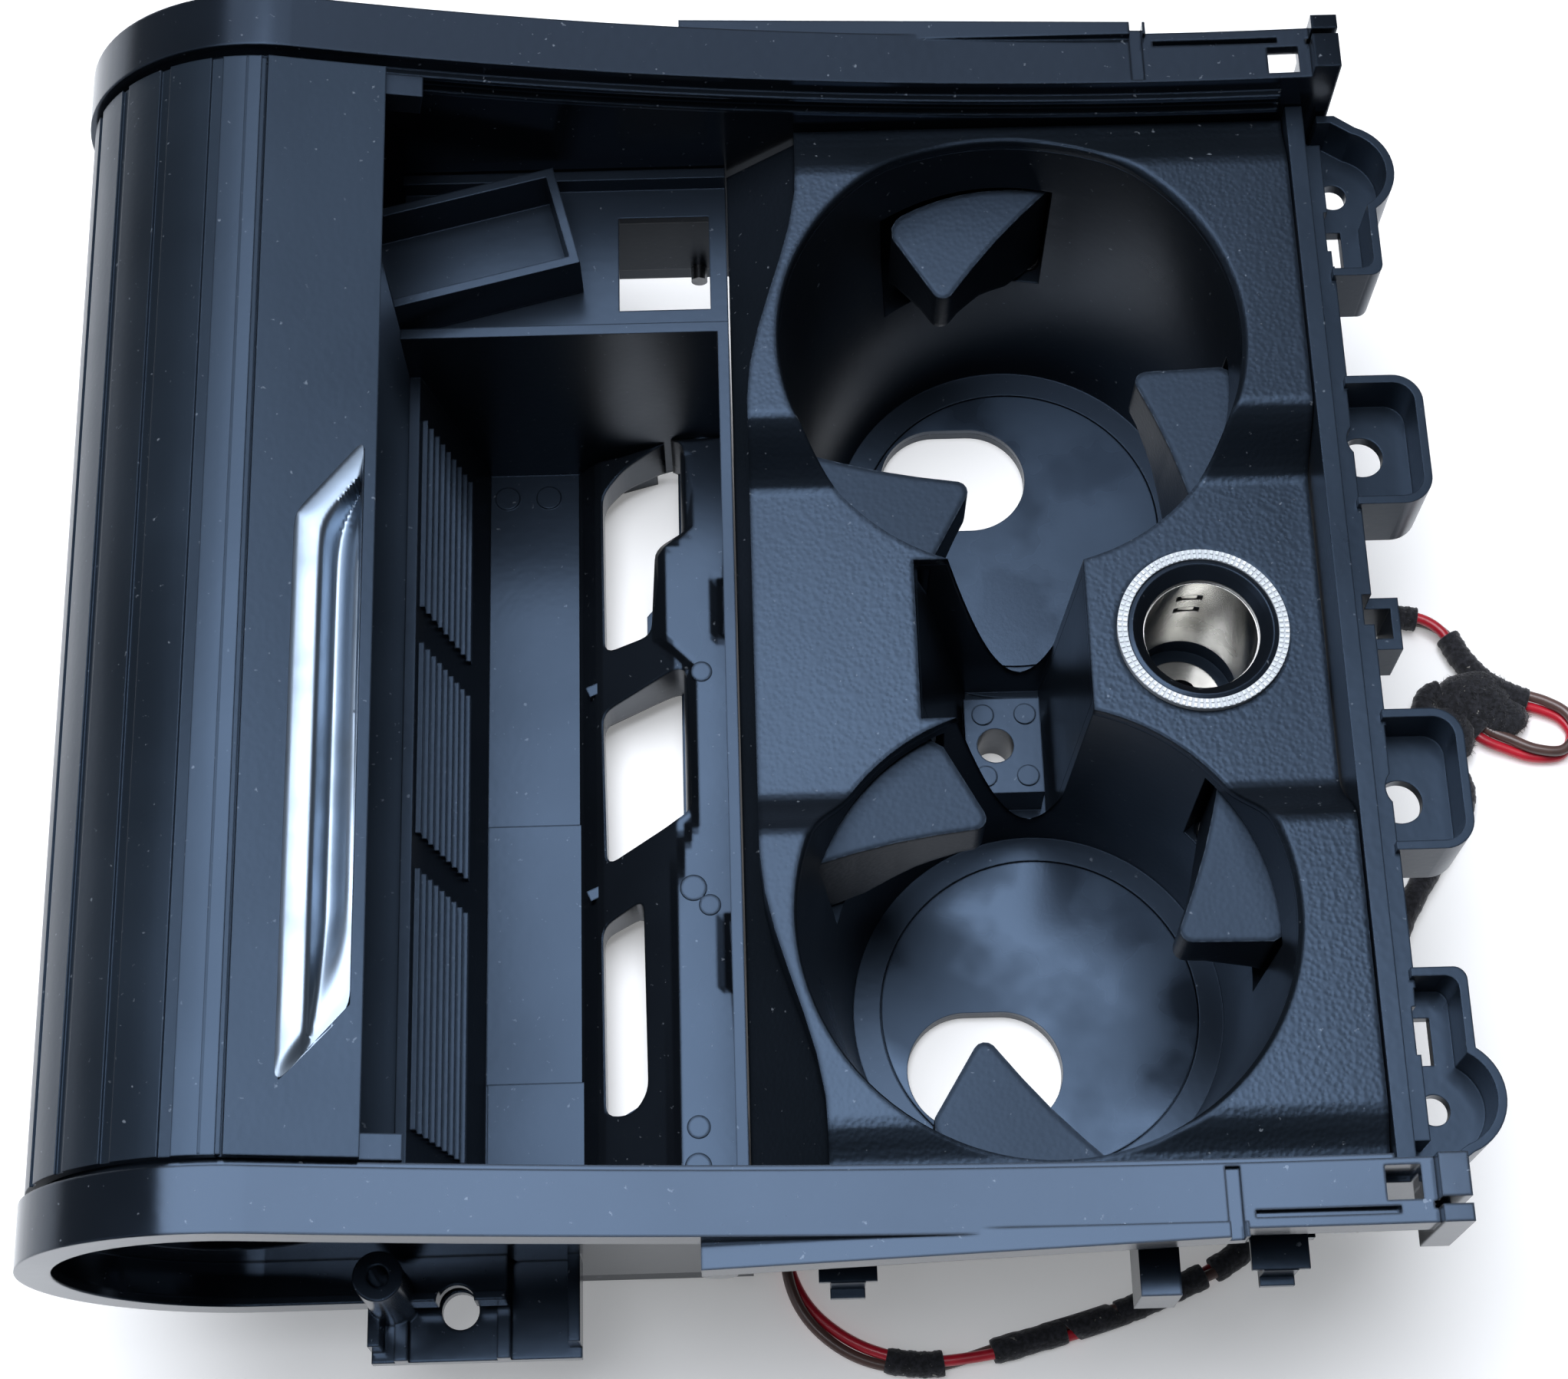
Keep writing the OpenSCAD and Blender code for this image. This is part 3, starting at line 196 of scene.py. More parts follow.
def moulded_plastic(name, base, dusty, rough, grain_mm, grain_depth_mm, edge_mm, worn=None, coat=0.0):
    """Moulded plastic with a fine grain, a haze of dust and softly rounded edges.

    The edges are scuffed where worn gives the scuffs' colour and their reach in
    millimetres. The grain is drawn coarser than the real one where that is too
    fine to show.
    """
    material, tree = start_material(name)
    colour = patches(tree, HAZE_MM, 4.0, linear(base), linear(dusty), 0.42, 0.80, (-900, 300))
    colour = patches(tree, FLECK_MM, 2.0, colour, linear(DUST), 0.71, 0.78, (-900, 600), 0.35)
    if worn:
        scuff_colour, reach_mm = worn
        scuff = patches(tree, SCUFF_MM, 5.0, 0.0, 1.0, 0.46, 0.60, (-900, -300))
        rounded = add_node(tree, "ShaderNodeBevel", (-900, -700), {"Radius": reach_mm * MM}, samples=4)
        face = add_node(tree, "ShaderNodeNewGeometry", (-900, -850))
        turned = add_node(
            tree, "ShaderNodeVectorMath", (-700, -700), {0: rounded, 1: face.outputs["True Normal"]},
            operation="DOT_PRODUCT",
        )
        limits = {1: 0.90, 2: 0.995, 3: 1.0, 4: 0.0}
        near_edge = add_node(tree, "ShaderNodeMapRange", (-500, -700), {0: turned.outputs["Value"], **limits})
        rubbed = add_node(tree, MATH, (-250, -700), {0: near_edge, 1: scuff}, operation="MULTIPLY")
        colour = add_node(
            tree, "ShaderNodeMix", (60, 200), {0: rubbed, 6: colour, 7: linear(scuff_colour)}, data_type="RGBA"
        ).outputs[2]
    roughness = patches(tree, HAZE_MM, 4.0, rough - 0.05, rough + 0.08, 0.3, 0.8, (-900, 0))
    spot = add_node(tree, "ShaderNodeTexCoord", (-1100, -150))
    grain = add_node(
        tree, "ShaderNodeTexVoronoi", (-900, -150),
        {"Vector": spot.outputs["Object"], "Scale": 1000.0 / grain_mm, "Smoothness": 0.6}, feature="SMOOTH_F1",
    )
    edges = add_node(tree, "ShaderNodeBevel", (-100, -500), {"Radius": edge_mm * MM}, samples=4)
    depth = {"Strength": 0.55, "Distance": grain_depth_mm * MM}
    normal = add_node(
        tree, "ShaderNodeBump", (300, -400), {"Height": grain.outputs["Distance"], "Normal": edges, **depth}
    )
    looks = {"Base Color": colour, "Roughness": roughness, "Normal": normal, "IOR": 1.52}
    end_material(tree, {**looks, "Specular Tint": linear(SHEEN), "Coat Weight": coat, "Coat Roughness": 0.12})
    return material


def plated_metal(name, colour, dull, rough):
    """Plated or bare metal with faint smudges in its gloss."""
    material, tree = start_material(name)
    tint = patches(tree, 14.0, 4.0, linear(colour), linear(dull), 0.45, 0.75, (-900, 200))
    roughness = patches(tree, 14.0, 4.0, rough - 0.04, rough + 0.10, 0.35, 0.75, (-900, -100))
    edges = add_node(tree, "ShaderNodeBevel", (-100, -500), {"Radius": 0.2 * MM}, samples=4)
    end_material(tree, {"Base Color": tint, "Roughness": roughness, "Metallic": 1.0, "Normal": edges})
    return material


def moulded_rubber(name, colour, bloom):
    """Smooth moulded rubber with soft watery smears in its sheen."""
    material, tree = start_material(name)
    tint = patches(tree, 24.0, 3.0, linear(colour), linear(bloom), 0.40, 0.66, (-900, 200))
    roughness = patches(tree, 24.0, 3.0, 0.20, 0.42, 0.42, 0.60, (-900, -100))
    pores = patches(tree, 0.8, 2.0, 0.0, 1.0, 0.0, 1.0, (-900, -300))
    edges = add_node(tree, "ShaderNodeBevel", (-100, -500), {"Radius": 0.3 * MM}, samples=4)
    depth = {"Strength": 0.25, "Distance": 0.03 * MM}
    normal = add_node(tree, "ShaderNodeBump", (300, -400), {"Height": pores, "Normal": edges, **depth})
    looks = {"Base Color": tint, "Roughness": roughness, "Normal": normal, "IOR": 1.55}
    end_material(tree, {**looks, "Specular Tint": linear(SHEEN)})
    return material


def wire_insulation(name, colour, dark):
    """Extruded PVC insulation: smooth, a little glossy, with faint grime."""
    material, tree = start_material(name)
    tint = patches(tree, 9.0, 3.0, linear(colour), linear(dark), 0.5, 0.78, (-900, 200))
    end_material(tree, {"Base Color": tint, "Roughness": 0.33, "IOR": 1.53})
    return material


def cloth_tape(name, colour, fleece):
    """Woven harness tape: matt black fleece with lint caught on it."""
    material, tree = start_material(name)
    tint = patches(tree, 0.9, 6.0, linear(colour), linear(fleece), 0.40, 0.72, (-900, 200))
    tint = patches(tree, 1.1, 2.0, tint, linear(LINT), 0.72, 0.76, (-900, 500), 0.7)
    fibres = patches(tree, 0.9, 6.0, 0.0, 1.0, 0.0, 1.0, (-900, -300))
    normal = add_node(
        tree, "ShaderNodeBump", (300, -400), {"Height": fibres, "Strength": 0.9, "Distance": 0.35 * MM}
    )
    looks = {"Base Color": tint, "Roughness": 0.92, "Normal": normal, "IOR": 1.45}
    end_material(tree, {**looks, "Sheen Weight": 0.25})
    return material


def frosted_polycarbonate(name, colour, clear):
    """Frosted polycarbonate: pale, smooth and slightly cloudy."""
    material, tree = start_material(name)
    tint = patches(tree, 6.0, 2.0, linear(colour), linear(clear), 0.35, 0.7, (-900, 200))
    edges = add_node(tree, "ShaderNodeBevel", (-100, -500), {"Radius": 0.15 * MM}, samples=4)
    end_material(tree, {"Base Color": tint, "Roughness": 0.28, "IOR": 1.58, "Normal": edges})
    return material


def studio_paper(name, colour, glow):
    """Plain pale paper, which glows a little so that it stays pale in the object's shadow."""
    material, tree = start_material(name)
    looks = {"Base Color": linear(colour), "Roughness": 0.9}
    end_material(tree, {**looks, "Emission Color": linear("#ffffff"), "Emission Strength": glow})
    return material


FINISHES = {
    # Etched leather grain on ABS: breaks the sheen into fine sparkle
    "grained_abs": (moulded_plastic, "#0e1216", "#14181e", 0.33, 0.9, 0.07, 1.4),
    # Plain tool finish of the inner ABS mouldings: an even, dull sheen
    "satin_abs": (moulded_plastic, "#0d1014", "#13171c", 0.32, 1.6, 0.02, 0.4),
    # Satin ABS of the fingers: rubbed pale along the edges by cups
    "rubbed_abs": (moulded_plastic, "#0c0f13", "#13171c", 0.45, 1.0, 0.05, 1.7, ("#4a545f", 0.45)),
    # Smoother ABS of the tray's webs: a clearer sheen with soft edges
    "web_abs": (moulded_plastic, "#0d1014", "#13171c", 0.26, 1.6, 0.015, 0.9),
    # Door and slats in smooth ABS of low gloss
    "door_abs": (moulded_plastic, "#10151a", "#161c22", 0.33, 1.2, 0.015, 0.35),
    # Rails in ABS from a polished tool: sharper highlights
    "gloss_abs": (moulded_plastic, "#0a0d11", "#101419", 0.17, 2.0, 0.010, 0.6, None, 0.05),
    # Ears and clips in filled nylon: greyer, with a smooth skin
    "ear_pa": (moulded_plastic, "#12171d", "#1a2129", 0.30, 1.4, 0.02, 0.4),
    # Rubber mats: dark blue-grey
    "mat_rubber": (moulded_rubber, "#161c24", "#232c37"),
    # Satin chrome of the handle: bright, with its reflections blurred
    "satin_silver": (plated_metal, "#7b8896", "#6b7681", 0.36),
    # Nickel plate inside the socket: warm and clear, dulled in places
    "nickel_plate": (plated_metal, "#c4c3bf", "#96958f", 0.20),
    # Bright drawn steel of pins, springs and screws
    "spring_steel": (plated_metal, "#a3a5a8", "#7f8287", 0.30),
    # Light ring of the socket
    "frosted_ring": (frosted_polycarbonate, "#b9c2c6", "#dfe4e4"),
    "red_pvc": (wire_insulation, "#c01f30", "#7d1420"),
    "brown_pvc": (wire_insulation, "#5d4640", "#382a27"),
    "cloth_tape": (cloth_tape, "#101115", "#2c2d33"),
    "stage_paper": (studio_paper, "#f3f3f1", 0.22),
}
MADE = {}


def finish(name):
    """Makes each finish once, when a piece first asks for it."""
    if name not in MADE:
        maker, *values = FINISHES[name]
        MADE[name] = maker(name, *values)
    return MADE[name]


# Mesh helpers


def mesh_piece(name, points, faces, finish_name, smooth=True):
    """Makes an object at the origin from points in the part's frame."""
    mesh = bpy.data.meshes.new(name)
    mesh.from_pydata([tuple(p) for p in points], [], faces)
    mesh.validate()
    mesh.polygons.foreach_set("use_smooth", [smooth] * len(mesh.polygons))
    mesh.materials.append(finish(finish_name))
    piece = bpy.data.objects.new(name, mesh)
    bpy.context.scene.collection.objects.link(piece)
    return piece


def curve_through(points, steps):
    """Smooth path through the points, with the given steps between each pair."""
    p = [Vector(q) for q in points]
    path = []
    for i in range(len(p) - 1):
        a, b, c, d = p[max(i - 1, 0)], p[i], p[i + 1], p[min(i + 2, len(p) - 1)]
        for k in range(steps):
            f = k / steps
            bend, swing = 2 * a - 5 * b + 4 * c - d, 3 * b - a - 3 * c + d
            path.append(0.5 * (2 * b + (c - a) * f + bend * f * f + swing * f**3))
    path.append(p[-1])
    return path


def frames_along(path):
    """Tangent and two steady cross directions at each point of a path."""
    result = []
    side = None
    for i, point in enumerate(path):
        tangent = (path[min(i + 1, len(path) - 1)] - path[max(i - 1, 0)]).normalized()
        if side is None:
            side = tangent.cross(Vector((0, 1, 0))).normalized()
        side = (side - tangent * side.dot(tangent)).normalized()
        result.append((point, tangent, side, tangent.cross(side)))
    return result


def arc_lengths(path):
    """Distance from the start to each point of a path."""
    total = [0.0]
    for a, b in zip(path, path[1:]):
        total.append(total[-1] + (b - a).length)
    return total


def stretch(frames, lengths, start, end):
    """Points of a path between two distances along it."""
    first, last = bisect.bisect(lengths, start), bisect.bisect(lengths, end)
    return [frames[i][0] for i in range(max(first - 1, 0), min(last + 1, len(frames)))]


def rings_of(base, rows, sides):
    """Quads between stacked closed rings of points, the first of which starts at base."""
    quads = []
    for i in range(rows):
        a, b = base + i * sides, base + (i + 1) * sides
        quads += [(a + k, a + (k + 1) % sides, b + (k + 1) % sides, b + k) for k in range(sides)]
    return quads


def tube(name, path, radius, sides, finish_name):
    """Round tube along a path, closed at both ends; radius may be a list."""
    radii = radius if isinstance(radius, (list, tuple)) else [radius] * len(path)
    points, faces = [], rings_of(0, len(path) - 1, sides)
    for (centre, _, u, v), r in zip(frames_along(path), radii):
        for k in range(sides):
            angle = 2 * math.pi * k / sides
            points.append(centre + r * (math.cos(angle) * u + math.sin(angle) * v))
    faces.append(tuple(range(sides - 1, -1, -1)))
    last = (len(path) - 1) * sides
    faces.append(tuple(last + k for k in range(sides)))
    return mesh_piece(name, points, faces, finish_name)


def rounded_outline(corners, radius, steps=4):
    """Closed outline with its corners rounded, from points in millimetres."""
    outline = []
    for i, corner in enumerate(corners):
        here = Vector(corner)
        before, after = Vector(corners[i - 1]), Vector(corners[(i + 1) % len(corners)])
        start = here + (before - here).normalized() * min(radius, 0.45 * (before - here).length)
        end = here + (after - here).normalized() * min(radius, 0.45 * (after - here).length)
        for k in range(steps + 1):
            f = k / steps
            outline.append((1 - f) ** 2 * start + 2 * f * (1 - f) * here + f * f * end)
    return outline


def smooth(share):
    """Eases a share of 0 to 1 at both ends, and holds it beyond them."""
    share = max(0.0, min(1.0, share))
    return share * share * (3 - 2 * share)


def inside(point, outline):
    """Whether a plan point lies within an outline."""
    hit = False
    for i, a in enumerate(outline):
        b = outline[i - 1]
        if (a.y > point.y) != (b.y > point.y) and point.x < (b.x - a.x) * (point.y - a.y) / (b.y - a.y) + a.x:
            hit = not hit
    return hit


def distance_to(point, outline):
    """Shortest distance in plan from a point to an outline."""
    best = 1e9
    for i, a in enumerate(outline):
        edge = outline[i - 1] - a
        f = max(0.0, min(1.0, (point - a).dot(edge) / max(edge.length_squared, 1e-12)))
        best = min(best, (a + edge * f - point).length)
    return best


def relief(name, outline, holes, pitch, height, low, finish_name):
    """Closed slab in millimetres, pierced by holes, whose two faces follow heights over the plan."""
    loops = [outline] + holes
    flat, edges = [], []
    for loop in loops:
        base = len(flat)
        flat += loop
        edges += [(base + i, base + (i + 1) % len(loop)) for i in range(len(loop))]
    xs, ys = [p.x for p in outline], [p.y for p in outline]
    x = min(xs) + pitch / 2
    while x < max(xs):
        y = min(ys) + pitch / 2
        while y < max(ys):
            spot = Vector((x, y))
            if inside(spot, outline) and not any(inside(spot, hole) for hole in holes):
                if min(distance_to(spot, loop) for loop in loops) > 0.4 * pitch:
                    flat.append(spot)
            y += pitch
        x += pitch
    points, _, triangles, *_ = delaunay_2d_cdt(flat, edges, [], 1, 1e-5)
    kept = []
    for a, b, c in triangles:
        centre = (points[a] + points[b] + points[c]) / 3
        if not any(inside(centre, hole) for hole in holes):
            kept.append((a, b, c))
    count = len(points)
    solid = [Vector((p.x, p.y, height(p.x, p.y))) * MM for p in points]
    solid += [Vector((p.x, p.y, low(p.x, p.y))) * MM for p in points]
    faces = list(kept) + [(c + count, b + count, a + count) for a, b, c in kept]
    used = {(t[i], t[(i + 1) % 3]) for t in kept for i in range(3)}
    faces += [(b, a, a + count, b + count) for a, b in used if (b, a) not in used]
    return mesh_piece(name, solid, faces, finish_name, False)


def from_geometry_nodes(name, tree, values, source=None):
    """Runs a Geometry Nodes tree on a mesh, empty by default, and keeps the result as a plain mesh."""
    holder = bpy.data.objects.new(name + "_holder", source or bpy.data.meshes.new(name + "_holder"))
    bpy.context.scene.collection.objects.link(holder)
    modifier = holder.modifiers.new("build", "NODES")
    modifier.node_group = tree
    for item in tree.interface.items_tree:
        if item.item_type == "SOCKET" and item.in_out == "INPUT" and item.name in values:
            modifier[item.identifier] = values[item.name]
    holder.update_tag()
    bpy.context.view_layer.update()
    graph = bpy.context.evaluated_depsgraph_get()
    mesh = bpy.data.meshes.new_from_object(holder.evaluated_get(graph), depsgraph=graph)
    holder.modifiers.remove(modifier)
    bpy.data.objects.remove(holder)
    mesh.name = name
    piece = bpy.data.objects.new(name, mesh)
    bpy.context.scene.collection.objects.link(piece)
    return piece


def new_geometry_tree(name, sizes):
    """Makes a Geometry Nodes tree with named sizes, and returns it with its inputs' sockets."""
    tree = bpy.data.node_groups.new(name, "GeometryNodeTree")
    tree.interface.new_socket("Geometry", in_out="OUTPUT", socket_type="NodeSocketGeometry")
    tree.interface.new_socket("Geometry", in_out="INPUT", socket_type="NodeSocketGeometry")
    for label, value in sizes.items():
        kind = "NodeSocketInt" if isinstance(value, int) else "NodeSocketFloat"
        tree.interface.new_socket(label, in_out="INPUT", socket_type=kind).default_value = value
    return tree, add_node(tree, "NodeGroupInput", (-1200, 0)).outputs


def dressed_output(tree, geometry, finish_name):
    """Makes the instances real, gives them their finish and ends the tree."""
    real = add_node(tree, "GeometryNodeRealizeInstances", (1000, 0), {"Geometry": geometry})
    inputs = {"Geometry": real, "Material": finish(finish_name)}
    painted = add_node(tree, "GeometryNodeSetMaterial", (1200, 0), inputs)
    add_node(tree, "NodeGroupOutput", (1400, 0), {0: painted})


# Sizes that a user may change


def length(name, description, size_mm, low_mm, high_mm=5000.0):
    """Property for a length, with its default and limits in millimetres."""
    limits = {"default": size_mm * MM, "min": low_mm * MM, "max": high_mm * MM}
    return bpy.props.FloatProperty(name=name, description=description, unit="LENGTH", **limits)


def power(name, description, watts):
    """Property for the power of a light."""
    return bpy.props.FloatProperty(name=name, description=description, default=watts, min=0.0, subtype="POWER")


def amount(name, description, count, low, high):
    """Property for a number of like parts."""
    return bpy.props.IntProperty(name=name, description=description, default=count, min=low, max=high)


def share_of(name, description, share, low, high):
    """Property for a plain share or strength."""
    return bpy.props.FloatProperty(name=name, description=description, default=share, min=low, max=high)


class StageSizes(bpy.types.PropertyGroup):
    """Studio around the module."""

    sky_power: power("Sky power", "Power of the large soft light", 21.5)
    far_power: power("Far power", "Power of the dim light behind", 3.6)
    fill_power: power("Fill power", "Power of the side light", 1.5)
    world_level: share_of("World level", "Strength of the even surrounding light", 0.16, 0.0, 1.0)
    floor_half: length("Floor half size", "Half the side of the paper floor", 2500.0, 500.0)


class WiringSizes(bpy.types.PropertyGroup):
    """Loose wire pair under the module."""

    wire_width: length("Wire diameter", "Diameter of one insulated wire", 2.2, 1.0, 2.4)
    twist: length("Twist length", "Length in which the pair turns once", 90.0, 30.0)
    tape_radius: length("Tape radius", "Radius of the taped stretches", 2.55, 2.3, 2.7)


class SocketSizes(bpy.types.PropertyGroup):
    """Bright fluted ring of the power socket."""

    flute_count: amount("Flutes", "Number of flutes in each row", 90, 24, 160)
    flute_width: length("Flute width", "Width of one flute", 0.55, 0.1)
    flute_height: length("Flute height", "Height of a flute above the ring", 0.22, 0.05)


class DoorSizes(bpy.types.PropertyGroup):
    """Door: the web that follows it, its handle and the lip before it."""

    slats: amount("Slats", "Slats in the web that the door pulls out", 15, 4, 24)
    groove: share_of("Groove", "Share of each slat's pitch that is groove", 0.12, 0.02, 0.4)
    bar_width: length("Bar width", "Width of the handle's raised bar", 4.6, 2.0)
    scoop_depth: length("Scoop depth", "Depth of the scoop beside the bar", 2.6, 1.0, 3.4)
    lead: length("Lead", "Length of the lip in front of the door", 4.0, 1.0)


# The studio


class CONSOLE_OT_stage(bpy.types.Operator):
    """Adds the camera, the paper floor and the soft lights"""

    bl_idname = "console.stage"
    bl_label = "Studio"

    def execute(self, context):
        sizes = context.scene.console_stage
        camera_data = bpy.data.cameras.new("camera")
        camera_data.sensor_width = SENSOR
        camera_data.sensor_fit = "HORIZONTAL"
        camera_data.lens = CAMERA_LENS
        camera_data.clip_start = 0.01
        camera = bpy.data.objects.new("camera", camera_data)
        camera.location = CAMERA_PLACE
        camera.rotation_euler = (math.radians(CAMERA_PITCH), 0.0, math.radians(CAMERA_ROLL))
        context.scene.collection.objects.link(camera)
        context.scene.camera = camera
        context.scene.view_settings.view_transform = "Standard"

        ground = CAD_BOX[0].z
        half = sizes.floor_half
        corners = [(-half, -half, ground), (half, -half, ground), (half, half, ground), (-half, half, ground)]
        floor = mesh_piece("studio_floor", corners, [(0, 1, 2, 3)], "stage_paper", False)

        # Name, place, size, power and colour of each light
        lights = (
            ("sky_light", (-0.25, 0.17, 1.15), (0.87, 0.84), sizes.sky_power, "#f4f7ff"),
            ("far_light", (-0.25, 0.98, 1.1), (0.87, 0.7), sizes.far_power, "#eef3ff"),
            ("side_light", (-0.95, -0.25, 0.55), (0.5, 0.9), sizes.fill_power, "#eef3ff"),
        )
        for light in lights:
            self.area_light(context, *light)
        self.sky(context, sizes.world_level)
        return {"FINISHED"}

    @staticmethod
    def area_light(context, name, place, size, power, colour):
        """A soft rectangular light aimed at the module."""
        data = bpy.data.lights.new(name, "AREA")
        data.shape = "RECTANGLE"
        data.size, data.size_y = size
        data.energy = power
        data.color = linear(colour)[:3]
        lamp = bpy.data.objects.new(name, data)
        lamp.location = place
        aim = Vector(LIGHT_AIM) - Vector(place)
        lamp.rotation_euler = aim.to_track_quat("-Z", "Y").to_euler()
        context.scene.collection.objects.link(lamp)

    @staticmethod
    def sky(context, level):
        """Even cool light all round; the camera and clear parts see a white studio."""
        world = bpy.data.worlds.new("studio")
        context.scene.world = world
        world.use_nodes = True
        tree = world.node_tree
        tree.nodes.clear()
        rays = add_node(tree, "ShaderNodeLightPath", (-600, 200)).outputs
        backgrounds = [
            add_node(tree, "ShaderNodeBackground", (-200, y), {"Color": linear(colour), "Strength": strength})
            for y, colour, strength in ((0, "#e3ebf7", level), (-150, "#ffffff", 1.0))
        ]
        kinds = {0: rays["Is Camera Ray"], 1: rays["Is Transmission Ray"]}
        seen = add_node(tree, MATH, (-400, 200), kinds, operation="MAXIMUM")
        mixed = add_node(tree, "ShaderNodeMixShader", (0, 0), {0: seen, 1: backgrounds[0], 2: backgrounds[1]})
        add_node(tree, "ShaderNodeOutputWorld", (200, 0), {0: mixed})


# Finishes of the modelled solids


class CONSOLE_OT_mouldings(bpy.types.Operator):
    """Gives each modelled solid that the table lists its finish"""

    bl_idname = "console.mouldings"
    bl_label = "Mouldings"

    finishes = {
        "cup_panel": "grained_abs",
        "cup_well": "satin_abs",
        "neck_channel": "satin_abs",
        "cup_mat": "mat_rubber",
        "rear_carrier": "ear_pa",
        "far_side_frame": "gloss_abs",
        "near_side_frame": "gloss_abs",
        "storage_tray": "satin_abs",
        "corner_pocket": "satin_abs",
        "door_panel": "door_abs",
        "door_handle": "satin_silver",
        "door_shoe": "satin_abs",
        "roller_curtain": "door_abs",
        "finger_pin": "spring_steel",
        "finger_spring": "spring_steel",
        "finger": "rubbed_abs",
        "socket_body": "satin_abs",
        "socket_shell": "nickel_plate",
        "socket_contact": "nickel_plate",
        "socket_side_spring": "nickel_plate",
        "socket_collar": "satin_abs",
        "socket_plug": "satin_abs",
        "harness_connector": "satin_abs",
        "side_screws": "spring_steel",
        "side_clips": "ear_pa",
    }

    def execute(self, context):
        for name, node in NODES.items():
            keys = [key for key in self.finishes if name.startswith(key)]
            if not keys:
                continue
            chosen = finish(self.finishes[max(keys, key=len)])
            if node.material_slots:
                for slot in node.material_slots:
                    slot.material = chosen
            else:
                node.data.materials.append(chosen)
        return {"FINISHED"}


# The loose wire pair


class CONSOLE_OT_wiring(bpy.types.Operator):
    """Lays the red and brown wires and wraps them in cloth tape"""

    bl_idname = "console.wiring"
    bl_label = "Wiring"

    # Stretches of closed tape sleeve, in millimetres along the route
    sleeves = ((2, 79), (88, 109), (145, 152), (158, 226), (243, 299), (303, 319), (332, 345), (356.5, 366))
    # Stretches of open spiral wrap
    spirals = ((225, 245), (317, 334))

    def execute(self, context):
        sizes = context.scene.console_wiring
        path = [p * MM for p in curve_through(ROUTE_MM, 8)]
        lengths = arc_lengths(path)
        frames = frames_along(path)
        wires = []
        for name, finish_name, phase in (("wire_red", "red_pvc", 0.0), ("wire_brown", "brown_pvc", math.pi)):
            line = []
            for (centre, _, u, v), s in zip(frames, lengths):
                angle = phase + 2 * math.pi * s / sizes.twist
                away = sizes.wire_width * PAIR_SPREAD
                line.append(centre + away * (math.cos(angle) * u + math.sin(angle) * v))
            wires.append((tube(name, line, sizes.wire_width / 2, 12, finish_name), line))
        tapes = []
        for wrap, stretches in ((self.sleeve, self.sleeves), (self.spiral, self.spirals)):
            for start, end in stretches:
                tapes.append(wrap(frames, lengths, start * MM, end * MM, sizes.tape_radius))
        tapes.append(self.knot())
        for tape in tapes:
            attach(tape, "housing")
        for index, (wire, line) in enumerate(wires):
            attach(wire, "housing")
        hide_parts("harness_cable")
        return {"FINISHED"}

    # Lumps of the fuzzy tape knot in millimetres: centre, half sizes
    lumps = (
        ((34.0, 11.5, -69.0), (8.0, 6.2, 3.2)),
        ((28.5, 4.5, -69.3), (5.0, 6.5, 2.9)),
        ((39.5, 7.5, -69.4), (5.5, 4.2, 2.8)),
    )
    # Level below which the knot is pressed flat, and the fibres on each square metre of it
    flat_below = -72.35
    fibre_density = 1.6e6

    def knot(self):
        """Fuzzy wad of tape round the crossing of the loop, with loose fibres on it."""
        points, faces = [], []
        rings, sides = 12, 20
        for (cx, cy, cz), (rx, ry, rz) in self.lumps:
            base = len(points)
            for i in range(rings + 1):
                polar = math.pi * i / rings
                for k in range(sides):
                    around = 2 * math.pi * k / sides
                    lump = 1.0 + 0.06 * math.sin(3 * around + i) + 0.05 * math.sin(5 * around - 2 * i + cx)
                    x = cx + rx * lump * math.sin(polar) * math.cos(around)
                    y = cy + ry * lump * math.sin(polar) * math.sin(around)
                    z = max(cz + rz * lump * math.cos(polar), self.flat_below)
                    points.append(Vector((x, y, z)) * MM)
            faces += [(a, d, c, b) for a, b, c, d in rings_of(base, rings, sides)]
        wad = mesh_piece("tape_wad", points, faces, "cloth_tape")
        mesh = wad.data
        bpy.data.objects.remove(wad)
        return from_geometry_nodes("tape_knot", self.fibre_tree(), {"Density": self.fibre_density}, mesh)

    @staticmethod
    def fibre_tree():
        """Short fibres scattered over a surface and joined to it."""
        tree, size = new_geometry_tree("tape_fibres", {"Density": 1.0e6})
        inputs = {"Mesh": size["Geometry"], "Density": size["Density"]}
        scattered = add_node(tree, "GeometryNodeDistributePointsOnFaces", (-600, 0), inputs)
        fibre = add_node(
            tree, "GeometryNodeMeshCone", (-600, -300),
            {"Vertices": 3, "Radius Top": 0.01 * MM, "Radius Bottom": 0.06 * MM, "Depth": 1.1 * MM},
        )
        lean = add_node(
            tree, "FunctionNodeRandomValue", (-600, -600),
            {"Min": (-1.3, -1.3, 0.0), "Max": (1.3, 1.3, 6.28)}, data_type="FLOAT_VECTOR",
        )
        leaned = add_node(tree, "FunctionNodeEulerToRotation", (-400, -600), {"Euler": lean.outputs["Value"]})
        turned = add_node(
            tree, "FunctionNodeRotateRotation", (-200, -300),
            {"Rotation": scattered.outputs["Rotation"], "Rotate By": leaned}, rotation_space="LOCAL",
        )
        placed = add_node(
            tree, "GeometryNodeInstanceOnPoints", (0, 0),
            {"Points": scattered.outputs["Points"], "Instance": fibre.outputs["Mesh"], "Rotation": turned},
        )
        joined = add_node(tree, "GeometryNodeJoinGeometry", (400, 0), {0: [placed, size["Geometry"]]})
        dressed_output(tree, joined, "cloth_tape")
        return tree

